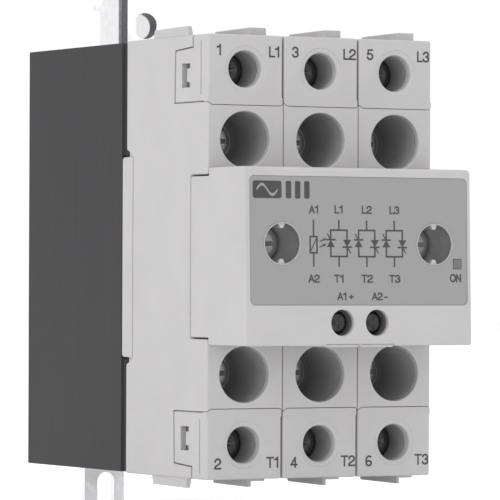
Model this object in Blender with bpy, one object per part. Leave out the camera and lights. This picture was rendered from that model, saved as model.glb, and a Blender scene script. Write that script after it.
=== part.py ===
"""Three-pole solid state relay on a finned heat sink, with a control module, box-clamp
terminals under lift-off covers, and a bracket and sprung latch for a 35 mm rail.

Row frame: the origin is the centre of the rail's front face, X runs across the poles,
-Y is the front of the relay, +Y points into the rail and the panel, and +Z is up.
Sizes are in millimetres; every mesh and location is scaled to metres as it is made.
"""

import math

import bmesh
import bpy
from mathutils import Matrix

MM = 0.001
GAP = 0.3  # clearance between pieces that touch

# Driving dimensions
POLES = 3
POLE_PITCH = 18.0
HOUSING_HEIGHT = 91.6
HOUSING_DEPTH = 36.2  # terminal face to heat sink
SINK_DEPTH = 47.2  # housing to rail
TERMINAL_Z = 38.7  # clamp screws, above and below the middle
FIXING_Z = 24.2  # screws that hold the poles to the heat sink
MODULE_REACH = 15.95  # control module's front, ahead of the terminal face
MODULE_LEAN = 0.0249  # how far that front leans, per unit of height

# Sizes that follow from them
WIDTH = POLES * POLE_PITCH - GAP
HALF_WIDTH = WIDTH / 2
HALF_HEIGHT = HOUSING_HEIGHT / 2
FACE_Y = -(HOUSING_DEPTH + SINK_DEPTH)
POLE_CENTRES = [(i - (POLES - 1) / 2) * POLE_PITCH for i in range(POLES)]
SIDES = (("l", 1), ("t", -1))  # line terminals above, load terminals below

# Housing shell and the pole bases inside it, in depths from the terminal face
WALL = 1.4
SIDE_WALL = 1.35
MODULE_BAY_Z = 16.9
MODULE_BAY_DEPTH = 7.6
TONGUE_Z = 21.6
TONGUE = 1.3  # thickness of the snap tongues over the heat sink's sides
TONGUE_REACH = 1.5
RIB_HEIGHT = 2.0
SIDE_RIB_INSET = 0.4
COVER_Z = 31.3  # lower edge of an upper cover's front plate
FLAP_Z = 31.9  # lower edge of its side flaps
COVER_TOP_DEPTH = 6.5
COVER_PLATE = 2.0
COVER_FLAP = 0.85
COVER_HALF_WIDTH = POLE_PITCH / 2 - 0.2
WINDOW_ZS = (35.0, 40.0)  # snap window in each side flap
WINDOW_PAD = 0.45  # how much thicker the flap is round its window
DISH_RADIUS = 4.8
DISH_DEPTH = 0.35
BASE_HALF_WIDTH = 7.2
BASE_TOP = HALF_HEIGHT - WALL - GAP
CHAMBER_HALF_WIDTH = 6.0
CHAMBER_FRONT = 10.0
CHAMBER_BACK = 26.7
CHAMBER_FLOOR = 30.9
WELL_RADIUS = 5.8
WELL_DEPTH = 14.5
BORE_RADIUS = 3.7
SHELF_DEPTH = 8.8

# Clamps
CAGE_HALF_WIDTH = 5.6
CAGE_HALF_HEIGHT = 4.4
CAGE_FRONT = 15.0
CAGE_BACK = 26.3
CAGE_WALL = 1.6
BUSBAR_FRONT = 17.0
BUSBAR = 1.5
CLAMP_HEAD = 6.2
CLAMP_HEAD_RADIUS = 3.3
CLAMP_RECESS = (4.2, 1.1, 1.3)  # width, slot and depth
SCREW_RADIUS = 2.5
FIXING_HEAD = 12.5
FIXING_HEAD_RADIUS = 3.5
FIXING_TIP = 41.6
FIXING_RECESS = (4.4, 1.2, 1.2)

# Control module
CONTROL_X = 4.1
CONTROL_Z = -13.4
MODULE_SCREW_X = 18.1
MODULE_SCREW_Z = 2.7
LED_X = 23.6
LED_Z = -1.3
LABEL_LOW = -9.9
LABEL_HIGH = 16.7
LABEL_HALF_WIDTH = 26.1
LABEL_CORNER = 1.5
MODULE_WELL_RADIUS = 4.0
DRIVER_HOLE_RADIUS = 2.7
ENTRY_HALF_WIDTH = 3.4
LIP_HALF_WIDTH = 3.9
LIP_DROP = 0.6
LIP_DEPTHS = (-16.1, -1.6)
LAMP_HALF = 1.25
MODULE_SCREW_HEAD = (-8.2, -5.3)
MODULE_SCREW_TIP = 15.5

# Heat sink, bracket and latch, in the row frame
SINK_HALF_WIDTH = 26.5
SINK_BASE = 7.0
POCKET_HALF_WIDTH = 5.8
POCKET_FLOOR = -5.3
STEM_HALF_WIDTH = 3.2
RAIL_HALF = 17.5
BRACKET_FRONT = -4.9
BRACKET_TOP = 59.3
BRACKET_HOLE_Z = 52.0
FLANGE_BACK = 7.3
FLANGE_X = 5.2
LATCH_LOW = -55.3
FORK_LEFT = -9.6
FORK_RIGHT = 0.4
FORK_SLOT_X = -4.2
FORK_SLOT_TOP = -50.4  # centre of the slot's round end
FORK_SLOT_RADIUS = 2.1
SPRING_TOP = -32.3
SPRING_LOW = -43.9
BRACKET_SCREW_ZS = (34.0, -4.0)
BRACKET_SHEET = 1.5
FIN = 1.5
FINS_EACH_SIDE = 4
SINK_WALL = 2.3
SINK_STEP = 0.35  # depth of the step along the front of both sides
SINK_STEP_LENGTH = 2.4


# ---------------------------------------------------------------- materials
def material(name, colour, roughness, metallic=0.0):
    made = bpy.data.materials.new(name)
    made.use_nodes = True
    shader = made.node_tree.nodes["Principled BSDF"]
    shader.inputs["Base Color"].default_value = (*colour, 1.0)
    shader.inputs["Roughness"].default_value = roughness
    shader.inputs["Metallic"].default_value = metallic
    return made


# ---------------------------------------------------------------- shapes, in millimetres
def mesh_of(shape):
    bmesh.ops.recalc_face_normals(shape, faces=shape.faces)
    mesh = bpy.data.meshes.new("shape")
    shape.to_mesh(mesh)
    shape.free()
    return mesh


def along(axis, point, height):
    """The 3-D place of a 2-D outline point, at a height along the axis."""
    u, v = point
    places = {"X": (height, u, v), "Y": (u, height, v), "Z": (u, v, height)}
    return [value * MM for value in places[axis]]


def prism(outline, axis, span, turn=None):
    """An outline in the plane square to the axis, extruded over the span."""
    shape = bmesh.new()
    ends = [[shape.verts.new(along(axis, point, height)) for point in outline] for height in span]
    shape.faces.new(ends[0])
    shape.faces.new(reversed(ends[1]))
    for i in range(len(outline)):
        j = (i + 1) % len(outline)
        shape.faces.new((ends[0][i], ends[0][j], ends[1][j], ends[1][i]))
    if turn:
        shape.transform(turn)
    return mesh_of(shape)


def cuboid(x, y, z, turn=None):
    outline = [(x[0], y[0]), (x[1], y[0]), (x[1], y[1]), (x[0], y[1])]
    return prism(outline, "Z", z, turn)


def round_points(radius, sides, centre=(0.0, 0.0), start=0.0, sweep=2 * math.pi):
    """Points on an arc; a full circle leaves out its repeated last point."""
    steps = sides if sweep == 2 * math.pi else sides + 1
    angles = [start + sweep * i / sides for i in range(steps)]
    return [(centre[0] + radius * math.cos(a), centre[1] + radius * math.sin(a)) for a in angles]


def rod(x, z, radius, y, sides=24):
    """A round bar along Y."""
    return prism(round_points(radius, sides, (x, z)), "Y", y)


def turned(profile, sides=20, x=0.0, z=0.0):
    """A shape turned about an axis along Y, from (radius, y) points."""
    shape = bmesh.new()
    rings = []
    for radius, y in profile:
        ring = [shape.verts.new(along("Y", point, y)) for point in round_points(radius, sides, (x, z))]
        rings.append(ring)
    for low, high in zip(rings, rings[1:]):
        for i in range(sides):
            j = (i + 1) % sides
            shape.faces.new((low[i], low[j], high[j], high[i]))
    shape.faces.new(rings[0])
    shape.faces.new(rings[-1])
    return mesh_of(shape)


def cross_recess(width, slot, y):
    """The cutter for a cross recess in a screw's head."""
    w, s = width / 2, slot / 2
    arm = [(w, -s), (w, s), (s, s)]
    outline = []
    for quarter in range(4):
        c, d = round(math.cos(quarter * math.pi / 2)), round(math.sin(quarter * math.pi / 2))
        outline += [(u * c - v * d, u * d + v * c) for u, v in arm]
    return prism(outline, "Y", y)


def rounded(x, z, radius, steps=4):
    """A rectangle's outline with round corners, from its spans."""
    corners = (
        (x[1] - radius, z[1] - radius, 0.0),
        (x[0] + radius, z[1] - radius, 0.5),
        (x[0] + radius, z[0] + radius, 1.0),
        (x[1] - radius, z[0] + radius, 1.5),
    )
    points = []
    for u, v, quarter in corners:
        points += round_points(radius, steps, (u, v), quarter * math.pi, math.pi / 2)
    return points


def flipped(outline, side):
    """An outline turned upside down for the load side."""
    return [(u, v * side) for u, v in outline]


def span(side, low, high):
    """A span from low to high, or its mirror image on the other side."""
    return sorted((side * low, side * high))


def mirrored(outline):
    """An outline's upper half and its mirror image below the middle."""
    return list(outline) + [(u, -v) for u, v in reversed(outline)]


def combined(base, add=(), cut=()):
    """The mesh of base with some shapes united to it, and then others cut away."""
    link = bpy.context.scene.collection.objects.link
    body = bpy.data.objects.new("body", base)
    link(body)
    tools = []
    for operation, meshes in (("UNION", add), ("DIFFERENCE", cut)):
        for mesh in meshes:
            tool = bpy.data.objects.new("tool", mesh)
            link(tool)
            step = body.modifiers.new(operation, "BOOLEAN")
            step.operation = operation
            step.object = tool
            tools.append(tool)
    graph = bpy.context.evaluated_depsgraph_get()
    result = bpy.data.meshes.new_from_object(body.evaluated_get(graph))
    for item in (body, *tools):
        bpy.data.objects.remove(item)
    return result


# ---------------------------------------------------------------- placing
def empty(name, at=(0.0, 0.0, 0.0), parent=None):
    guide = bpy.data.objects.new(name, None)
    guide.location = [value * MM for value in at]
    guide.parent = parent
    bpy.context.scene.collection.objects.link(guide)
    return guide


def place(name, mesh, finish, parent, at=(0.0, 0.0, 0.0)):
    mesh.materials.clear()
    mesh.materials.append(finish)
    mesh.shade_smooth()
    mesh.set_sharp_from_angle(angle=math.radians(35))
    part = bpy.data.objects.new(name, mesh)
    part.location = [value * MM for value in at]
    part.parent = parent
    bpy.context.scene.collection.objects.link(part)
    return part


# ---------------------------------------------------------------- screws
def screw_mesh(head_radius, head, radius, tip, recess, sides=20):
    """A pan-head screw with a cross recess; head is (front, seat) along Y."""
    front, seat = head
    profile = [
        (head_radius - 0.6, front),
        (head_radius, front + 0.6),
        (head_radius, seat),
        (radius, seat),
        (radius, tip - 0.6),
        (radius - 0.6, tip),
    ]
    width, slot, depth = recess
    cutter = cross_recess(width, slot, (front - 1, front + depth))
    return combined(turned(profile, sides), cut=[cutter])


# ---------------------------------------------------------------- housing
def flap_outline(side, grow=0.0):
    """The cover's side, in depth and height; grow widens it for the housing's notch."""
    g = grow
    points = [
        (-g, FLAP_Z - g),
        (14.4 + g, FLAP_Z - g),
        (14.1 + g, 42.8 + g),
        (COVER_TOP_DEPTH + g, 43.3 + g),
        (COVER_TOP_DEPTH + g, HALF_HEIGHT + 5 * g),
        (-g, HALF_HEIGHT + 5 * g),
    ]
    return flipped(points, side)


def lip_outline(side, grow=0.0):
    """The foot of a cover's front plate, with its corners cut off; grow widens it."""
    half, g = COVER_HALF_WIDTH, grow
    points = [
        (-half - g, FLAP_Z + 1.0),
        (-half - g, FLAP_Z - g),
        (0.9 - half, COVER_Z - g),
        (half - 0.5, COVER_Z - g),
        (half + g, COVER_Z + GAP - g),
        (half + g, FLAP_Z + 1.0),
    ]
    return flipped(points, side)


def guide_rib(side, x, height, depth, slope):
    """A cable guide on the housing's end face, over the spans x and depth."""
    top = HALF_HEIGHT + height
    front, rear = depth
    outline = [(front, 45.0), (front + slope, top), (rear - 1.0, top - 0.2), (rear, 45.0)]
    return prism(flipped(outline, side), "X", x)


def guide_ribs():
    """The cable guides: full ribs above, and thin ribs with a low strip beside them below."""
    edge, depth = -HALF_WIDTH + SIDE_RIB_INSET, (6.9, 23.0)
    ribs = [guide_rib(side, (edge, edge + 1.2), RIB_HEIGHT, (8.6, 25.2), 1.2) for _, side in SIDES]
    for x in POLE_CENTRES:
        ribs.append(guide_rib(1, (x + 4.8, x + 8.8), RIB_HEIGHT, depth, 0.1))
        ribs.append(guide_rib(-1, (x + 4.8, x + 5.6), RIB_HEIGHT, depth, 0.1))
        ribs.append(guide_rib(-1, (x + 5.4, x + 8.8), 0.8, depth, 0.1))
    return ribs


def tongues():
    """The snap tongues that reach back over the heat sink's sides."""
    level = TONGUE_Z - 0.4
    reach = (33.5, HOUSING_DEPTH + TONGUE_REACH)
    return [cuboid(span(sign, HALF_WIDTH - TONGUE, HALF_WIDTH), reach, (-level, level)) for sign in (-1, 1)]


def tongue_notches():
    """Small notches at the rear edge of both sides, above and below a snap tongue."""
    level = TONGUE_Z - 0.4
    corner = [(32.9, TONGUE_Z), (37.0, TONGUE_Z + 1.9), (37.0, level), (33.2, level)]
    cutters = []
    for sign in (-1, 1):
        outer = span(sign, HALF_WIDTH - 0.8, HALF_WIDTH + 1)
        cutters += [prism(flipped(corner, side), "X", outer) for _, side in SIDES]
        groove = span(sign, HALF_WIDTH - 0.35, HALF_WIDTH + 1)
        cutters.append(cuboid(groove, (32.7, 33.0), (-level, level)))
    return cutters


def housing_shell():
    bay = MODULE_BAY_Z
    outer = [(MODULE_BAY_DEPTH, bay), (0, bay), (0, HALF_HEIGHT), (HOUSING_DEPTH - GAP, HALF_HEIGHT)]
    shell = prism(mirrored(outer), "X", (-HALF_WIDTH, HALF_WIDTH))
    hollow = [
        (MODULE_BAY_DEPTH + WALL, bay + WALL),
        (WALL, bay + WALL),
        (WALL, HALF_HEIGHT - WALL),
        (HOUSING_DEPTH + 1, HALF_HEIGHT - WALL),
    ]
    inner = HALF_WIDTH - SIDE_WALL
    cutters = [prism(mirrored(hollow), "X", (-inner, inner))]
    for _, side in SIDES:
        notch = prism(flap_outline(side, GAP), "X", (-HALF_WIDTH - 1, HALF_WIDTH + 1))
        cutters.append(notch)
        for x in POLE_CENTRES:
            lip = [(u + x, v) for u, v in lip_outline(side, GAP)]
            cutters.append(prism(lip, "Y", (-1, COVER_PLATE + GAP)))
            cutters.append(rod(x, side * FIXING_Z, WELL_RADIUS, (-1, 3)))
            window = (x - 5.9, x + 5.9)
            cutters.append(cuboid(window, (CHAMBER_FRONT, CHAMBER_BACK), span(side, 43.0, 47.0)))
        for x in (-POLE_PITCH / 2, POLE_PITCH / 2):
            cutters.append(cuboid((x - 0.15, x + 0.15), (-1, 0.4), span(side, bay - 1, FLAP_Z)))
    for x in (-MODULE_SCREW_X, MODULE_SCREW_X):
        cutters.append(rod(x, MODULE_SCREW_Z, 2.2, (6, 11), 12))
    hollowed = combined(shell, cut=cutters + tongue_notches())
    return combined(hollowed, add=guide_ribs() + tongues())


def pole_base():
    """One pole's grey inner moulding: wells, bores, clamp chambers and power cavity."""
    edge = MODULE_BAY_Z + WALL + GAP
    outline = [
        (MODULE_BAY_DEPTH + WALL + GAP, edge),
        (WALL + GAP, edge),
        (WALL + GAP, COVER_Z - 0.4),
        (COVER_PLATE + 0.4, COVER_Z - 0.4),
        (COVER_PLATE + 0.4, BASE_TOP),
        (HOUSING_DEPTH - 0.4, BASE_TOP),
    ]
    block = prism(mirrored(outline), "X", (-BASE_HALF_WIDTH, BASE_HALF_WIDTH))
    room = CHAMBER_HALF_WIDTH
    cutters = [
        cuboid((-room - 0.2, room + 0.2), (31.0, 37.0), (-31.2, 31.2)),
        cuboid((-room - 0.2, room + 0.2), (20.0, 37.0), (-16.0, 16.0)),
    ]
    for _, side in SIDES:
        cutters.append(cuboid((-room - 0.2, room + 0.2), (16.6, 37.0), span(side, 28.9, 31.2)))
        chamber = span(side, CHAMBER_FLOOR, 47.0)
        cutters.append(cuboid((-room, room), (CHAMBER_FRONT, CHAMBER_BACK), chamber))
        cutters.append(rod(0, side * FIXING_Z, WELL_RADIUS, (0, WELL_DEPTH)))
        cutters.append(rod(0, side * TERMINAL_Z, BORE_RADIUS, (1, SHELF_DEPTH), 20))
        cutters.append(rod(0, side * TERMINAL_Z, SCREW_RADIUS + 0.4, (8, 11), 12))
    hollowed = combined(block, cut=cutters)
    bosses = [rod(0, side * FIXING_Z, 4.5, (17.5, HOUSING_DEPTH - 0.4), 12) for _, side in SIDES]
    holes = [rod(0, side * FIXING_Z, SCREW_RADIUS + 0.4, (14, 37), 12) for _, side in SIDES]
    holes.append(rod(0, MODULE_SCREW_Z, 2.2, (8, 17), 12))
    return combined(hollowed, add=bosses, cut=holes)


def cover_windows(side):
    """Cutters for the snap windows and the grooves in a cover's two flaps."""
    half = COVER_HALF_WIDTH
    low, high = WINDOW_ZS
    cutters = []
    for sign in (-1, 1):
        through = span(sign, half - 1.6, half + 1)
        cutters.append(cuboid(through, (8.9, 11.2), span(side, low, high)))
        for z in (low, high - 1.1):
            cutters.append(cuboid(through, (7.6, 9.4), span(side, z, z + 1.1)))
        groove = span(sign, half - 0.3, half + 1)
        cutters.append(cuboid(groove, (2.8, 3.1), span(side, 33.4, 44.5)))
    return cutters


def terminal_cover(side):
    """A lift-off cover: front plate, end strip and two side flaps, with a dished hole."""
    half = COVER_HALF_WIDTH
    inner = half - COVER_FLAP
    block = prism(flap_outline(side), "X", (-half, half))
    lip = prism(lip_outline(side), "Y", (0, COVER_PLATE))
    room = cuboid((-inner, inner), (COVER_PLATE, 16.0), span(side, COVER_Z - 1, HALF_HEIGHT - WALL))
    rim = span(side, WINDOW_ZS[0] - 1.0, WINDOW_ZS[1] + 1.0)
    pads = [cuboid(span(sign, inner - WINDOW_PAD, inner + 0.2), (7.0, 12.4), rim) for sign in (-1, 1)]
    z = side * TERMINAL_Z
    holes = [rod(0, z, DISH_RADIUS, (-0.3, DISH_DEPTH)), rod(0, z, BORE_RADIUS, (-0.3, 2.5))]
    hollowed = combined(block, add=[lip], cut=[room])
    return combined(hollowed, add=pads, cut=holes + cover_windows(side))


# ---------------------------------------------------------------- clamps and power parts
def clamp_screw():
    head = (CLAMP_HEAD, SHELF_DEPTH - GAP)
    tip = BUSBAR_FRONT - 0.5
    return screw_mesh(CLAMP_HEAD_RADIUS, head, SCREW_RADIUS, tip, CLAMP_RECESS, 14)


def clamp_cage():
    """A box clamp: a ring that the conductor and the busbar pass through along Z."""
    half, rise, wall = CAGE_HALF_WIDTH, CAGE_HALF_HEIGHT, CAGE_WALL
    block = cuboid((-half, half), (CAGE_FRONT, CAGE_BACK), (-rise, rise))
    window = cuboid((1.3 - half, half - 1.3), (CAGE_FRONT + wall, CAGE_BACK - wall), (-6, 6))
    hole = rod(0, 0, SCREW_RADIUS + 0.35, (CAGE_FRONT - 1, CAGE_FRONT + wall + 1), 14)
    return combined(block, cut=[window, hole])


def busbar(side):
    """A bent copper strip from the clamp to the power substrate."""
    front, back = BUSBAR_FRONT, 34.4
    t = BUSBAR
    bend, foot_low, top = 29.3, 12.0, 43.0
    outline = [
        (front, bend),
        (front, top),
        (front + t, top),
        (front + t, bend + t),
        (back, bend + t),
        (back, foot_low),
        (back - t, foot_low),
        (back - t, bend),
    ]
    strip = prism(flipped(outline, side), "X", (-5.9, 5.9))
    cutters = [rod(0, side * FIXING_Z, 4.9, (32, 36), 14)]
    for sign in (-1, 1):
        shoulder = span(side, 31.2, 44.0)
        cutters.append(cuboid(span(sign, 3.8, 7.0), (front - 1, front + t + 1), shoulder))
    return combined(strip, cut=cutters)


def fixing_screw():
    head = (FIXING_HEAD, WELL_DEPTH - GAP)
    return screw_mesh(FIXING_HEAD_RADIUS, head, SCREW_RADIUS, FIXING_TIP, FIXING_RECESS, 16)


def power_substrate():
    return cuboid((-5.9, 5.9), (34.8, HOUSING_DEPTH - GAP), (-18.5, 18.5))


def thyristor_pair():
    """Two back-to-back thyristor discs on one carrier."""
    carrier = cuboid((-5.4, 5.4), (31.9, 34.5), (-10.5, 10.5))
    discs = [rod(0, z, 4.2, (29.2, 32.2), 16) for z in (-5.2, 5.2)]
    return combined(carrier, add=discs)


# ---------------------------------------------------------------- control module
def module_front(z):
    return -MODULE_REACH + MODULE_LEAN * z


def leaning():
    """The turn that lays an upright panel on the module's leaning front."""
    lean = Matrix.Rotation(-math.atan(MODULE_LEAN), 4, "X")
    return Matrix.Translation((0, -MODULE_REACH * MM, 0)) @ lean


def lamp_opening():
    across = (LED_X - LAMP_HALF, LED_X + LAMP_HALF)
    return cuboid(across, (-18, -12), (LED_Z - LAMP_HALF, LED_Z + LAMP_HALF))


def control_housing():
    top, low, ear = 18.3, -18.1, MODULE_BAY_Z - GAP
    soft = 1.2
    round_top = round_points(soft, 3, (module_front(top) + soft, top - soft), math.pi, -math.pi / 2)
    outline = [(-0.4, low), (-0.4, -ear), (7.2, -ear), (7.2, ear), (-0.4, ear), (-0.4, top)]
    outline += list(reversed(round_top)) + [(module_front(low), low + 0.5), (module_front(low) + 0.5, low)]
    block = prism(outline, "X", (-HALF_WIDTH, HALF_WIDTH))
    inner = HALF_WIDTH - 1.65
    hollow = [
        cuboid((-inner, inner), (-13.6, 8.0), (-14.6, 15.0)),
        cuboid((-8.4, 8.4), (-13.6, 8.0), (-16.6, -9.4)),
    ]
    shell = combined(block, cut=hollow)
    wells = (-MODULE_SCREW_X, MODULE_SCREW_X)
    tubes = [rod(x, MODULE_SCREW_Z, 5.2, (-14.0, -3.4), 20) for x in wells]
    for x in (-CONTROL_X, CONTROL_X):
        lip = (x - LIP_HALF_WIDTH, x + LIP_HALF_WIDTH)
        tubes.append(cuboid(lip, LIP_DEPTHS, (low - LIP_DROP, low + 1.0)))
    wide = LABEL_HALF_WIDTH + GAP
    recess = rounded((-wide, wide), (LABEL_LOW - GAP, LABEL_HIGH + GAP), LABEL_CORNER)
    cutters = [prism(recess, "Y", (-3.0, 0.8), leaning())]
    for x in (-MODULE_SCREW_X, MODULE_SCREW_X):
        cutters.append(rod(x, MODULE_SCREW_Z, MODULE_WELL_RADIUS, (-18, -5.0)))
        cutters.append(rod(x, MODULE_SCREW_Z, 2.2, (-6, -2), 12))
    for x in (-CONTROL_X, CONTROL_X):
        cutters.append(rod(x, CONTROL_Z, DRIVER_HOLE_RADIUS, (-18, -12), 20))
        entry = (x - ENTRY_HALF_WIDTH, x + ENTRY_HALF_WIDTH)
        cutters.append(cuboid(entry, (-11.6, -2.4), (-20, -16)))
    cutters.append(lamp_opening())
    return combined(shell, add=tubes, cut=cutters)


def label_panel():
    half = LABEL_HALF_WIDTH
    outline = rounded((-half, half), (LABEL_LOW, LABEL_HIGH), LABEL_CORNER)
    plate = prism(outline, "Y", (0.0, 0.5), leaning())
    wells = (-MODULE_SCREW_X, MODULE_SCREW_X)
    cutters = [rod(x, MODULE_SCREW_Z, MODULE_WELL_RADIUS, (-18, -12)) for x in wells]
    cutters.append(lamp_opening())
    return combined(plate, cut=cutters)


def control_base():
    """The module's back plate, with the chambers for the control clamps."""
    plate = cuboid((-24.8, 24.8), (4.6, 6.9), (-14.2, 14.6))
    block = cuboid((-8.0, 8.0), (-13.2, 5.0), (-16.2, -9.8))
    cutters = []
    for x in (-CONTROL_X, CONTROL_X):
        cutters.append(cuboid((x - 3.2, x + 3.2), (-11.9, -1.8), (-17, -10.5)))
        cutters.append(rod(x, CONTROL_Z, DRIVER_HOLE_RADIUS, (-14, -12.5), 20))
        cutters.append(rod(x, CONTROL_Z, 1.85, (-13, -11), 12))
        cutters.append(cuboid((x - 2.1, x + 2.1), (-8.0, -6.6), (-11, -9)))
    for x in (-MODULE_SCREW_X, MODULE_SCREW_X):
        cutters.append(rod(x, MODULE_SCREW_Z, 2.2, (4, 8), 12))
    return combined(plate, add=[block], cut=cutters)


def control_screw():
    return screw_mesh(2.3, (-14.4, -12.8), 1.5, -8.1, (2.9, 0.8, 0.9), 12)


def control_cage():
    block = cuboid((-2.9, 2.9), (-9.0, -2.2), (-2.5, 2.5))
    window = cuboid((-2.1, 2.1), (-8.0, -3.2), (-4, 4))
    hole = rod(0, 0, 1.8, (-10, -7.5), 12)
    return combined(block, cut=[window, hole])


def control_contact():
    """An angled contact strip from the clamp to the board."""
    outline = [(-7.7, -15.6), (-7.7, -8.6), (-1.6, -8.6), (-1.6, -9.4), (-6.9, -9.4), (-6.9, -15.6)]
    return prism(outline, "X", (-1.7, 1.7))


def control_board():
    """The circuit board with its three optocouplers and two capacitors."""
    board = cuboid((-23.8, 23.8), (-1.2, 0.4), (-9.2, 13.8))
    parts = [cuboid((x - 4.0, x + 4.0), (-5.0, -1.0), (5.5, 11.5)) for x in (-9.5, 0.0, 9.5)]
    parts += [rod(x, -3.5, 2.2, (-7.5, -1.0), 14) for x in (-6.0, 6.0)]
    holes = [rod(x, MODULE_SCREW_Z, 2.3, (-3, 2), 12) for x in (-MODULE_SCREW_X, MODULE_SCREW_X)]
    return combined(board, add=parts, cut=holes)


def module_screw():
    return screw_mesh(3.6, MODULE_SCREW_HEAD, 1.8, MODULE_SCREW_TIP, (4.2, 1.0, 1.3), 16)


def led_light_pipe():
    return cuboid((-0.95, 0.95), (module_front(LED_Z) + 0.05, -3.4), (-0.95, 0.95))


# ---------------------------------------------------------------- heat sink and rail fixing
def heat_sink():
    half = SINK_HALF_WIDTH
    high = HALF_HEIGHT - 0.2
    front = -SINK_DEPTH
    base_back = front + SINK_BASE
    past = (-high - 1, high + 1)
    block = cuboid((-half, half), (front, 0.0), (-high, high))
    pocket = cuboid((-POCKET_HALF_WIDTH, POCKET_HALF_WIDTH), (POCKET_FLOOR, 1.0), past)
    cutters = [pocket]
    start = POCKET_HALF_WIDTH + 1.6
    slot = (half - SINK_WALL - start - (FINS_EACH_SIDE - 1) * FIN) / FINS_EACH_SIDE
    for sign in (-1, 1):
        cell = span(sign, STEM_HALF_WIDTH, POCKET_HALF_WIDTH)
        cutters.append(cuboid(cell, (base_back, POCKET_FLOOR - 3.0), past))
        for i in range(FINS_EACH_SIDE):
            low = start + i * (slot + FIN)
            cutters.append(cuboid(span(sign, low, low + slot), (base_back, 1.0), past))
        step = (front - 1, front + SINK_STEP_LENGTH)
        cutters.append(cuboid(span(sign, half - SINK_STEP, half + 1), step, past))
        seat = span(sign, HALF_WIDTH - TONGUE - GAP, half + 1)
        cutters.append(cuboid(seat, step, (-TONGUE_Z, TONGUE_Z)))
    for _, side in SIDES:
        for x in POLE_CENTRES:
            cutters.append(rod(x, side * FIXING_Z, SCREW_RADIUS + GAP, (front - 1, front + 6.0), 12))
    for z in BRACKET_SCREW_ZS:
        cutters.append(rod(0, z, 2.3, (POCKET_FLOOR - 8, POCKET_FLOOR + 1), 12))
    return combined(block, cut=cutters)


def rail_bracket():
    """A channel in the heat sink's back: panel ear at the top, hooks over the rail."""
    front, web_back = BRACKET_FRONT, BRACKET_FRONT + BRACKET_SHEET
    web = cuboid((-4.5, 4.5), (front, web_back), (-45.6, BRACKET_TOP))
    ear = cuboid((-4.5, 4.5), (front, front + 3.3), (46.5, BRACKET_TOP))
    foot = cuboid((-4.2, 4.2), (front + 0.5, -0.6), (-45.6, -44.2))
    side = [
        (front + 0.4, 46.0),
        (front + 3.0, 47.0),
        (front + 3.0, BRACKET_TOP - 0.2),
        (FLANGE_BACK - 1.2, BRACKET_TOP - 0.2),
        (FLANGE_BACK - 1.2, 57.3),
        (FLANGE_BACK, 57.3),
        (FLANGE_BACK, 15.0),
        (1.6, 15.0),
        (1.6, RAIL_HALF + 0.4),
        (-0.4, RAIL_HALF + 0.4),
        (-0.4, -45.6),
        (front + 0.4, -45.6),
    ]
    flanges = [prism(side, "X", span(sign, 4.0, FLANGE_X)) for sign in (-1, 1)]
    rear = (FLANGE_BACK - 1.2, FLANGE_BACK)
    pegs = [cuboid(span(sign, 4.6, 6.9), rear, (55.8, 57.0)) for sign in (-1, 1)]
    holes = [rod(0, BRACKET_HOLE_Z, 3.0, (front - 1, 1))]
    sink = [(2.4, front - 1), (2.4, front + 0.3), (3.6, web_back), (4.2, web_back + 0.6)]
    holes += [turned(sink, 16, 0, z) for z in BRACKET_SCREW_ZS]
    return combined(web, add=[ear, foot, *flanges, *pegs], cut=holes)


def bracket_screw():
    """A countersunk screw, driven from the back into the heat sink."""
    back = BRACKET_FRONT + BRACKET_SHEET
    profile = [(1.6, -12.4), (2.0, -12.0), (2.0, back - 1.45), (3.3, back - 0.1), (3.3, back + 0.3)]
    cutter = cross_recess(3.6, 0.9, (back - 0.7, back + 2))
    return combined(turned(profile, 16), cut=[cutter])


def rail_latch():
    """The sprung latch: slider in the channel, hook behind the rail's lip, and fork."""
    slider = cuboid((-3.6, 3.6), (-3.0, -0.8), (-32.0, -14.0))
    bridge = cuboid((-3.6, 3.6), (-1.2, 5.8), (-21.0, -RAIL_HALF - 0.8))
    hook = cuboid((-3.6, 3.6), (1.6, 5.8), (-21.0, -15.2))
    left, right, low = FORK_LEFT, FORK_RIGHT, LATCH_LOW
    x, slot = FORK_SLOT_X, FORK_SLOT_RADIUS
    plate = [(3.6, -15.2), (3.6, -25.0), (right, -30.0), (right, low + 0.6), (right - 0.6, low)]
    plate += [(x + slot, low)] + round_points(slot, 8, (x, FORK_SLOT_TOP), 0.0, math.pi) + [(x - slot, low)]
    plate += [(left + 0.6, low), (left, low + 0.6), (left, -30.0), (-3.6, -25.0), (-3.6, -15.2)]
    tail = prism(plate, "Y", (5.3, FLANGE_BACK))
    return combined(slider, add=[bridge, hook, tail])


def latch_spring():
    """A coil spring along Z, as a tube swept round a helix."""
    turns, steps, sides = 7, 8, 4
    coil, wire = 1.0, 0.25
    z = -1.9
    low, high = SPRING_LOW + wire, SPRING_TOP - wire
    shape = bmesh.new()
    rings = []
    count = turns * steps
    for i in range(count + 1):
        turn = 2 * math.pi * i / steps
        out = (math.cos(turn), math.sin(turn))
        height = low + (high - low) * i / count
        ring = []
        for k in range(sides):
            a = 2 * math.pi * k / sides
            reach = coil + wire * math.cos(a)
            place_at = (out[0] * reach, z + out[1] * reach, height + wire * math.sin(a))
            ring.append(shape.verts.new([value * MM for value in place_at]))
        rings.append(ring)
    for a, b in zip(rings, rings[1:]):
        for k in range(sides):
            n = (k + 1) % sides
            shape.faces.new((a[k], a[n], b[n], b[k]))
    shape.faces.new(rings[0])
    shape.faces.new(rings[-1])
    return mesh_of(shape)


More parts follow.
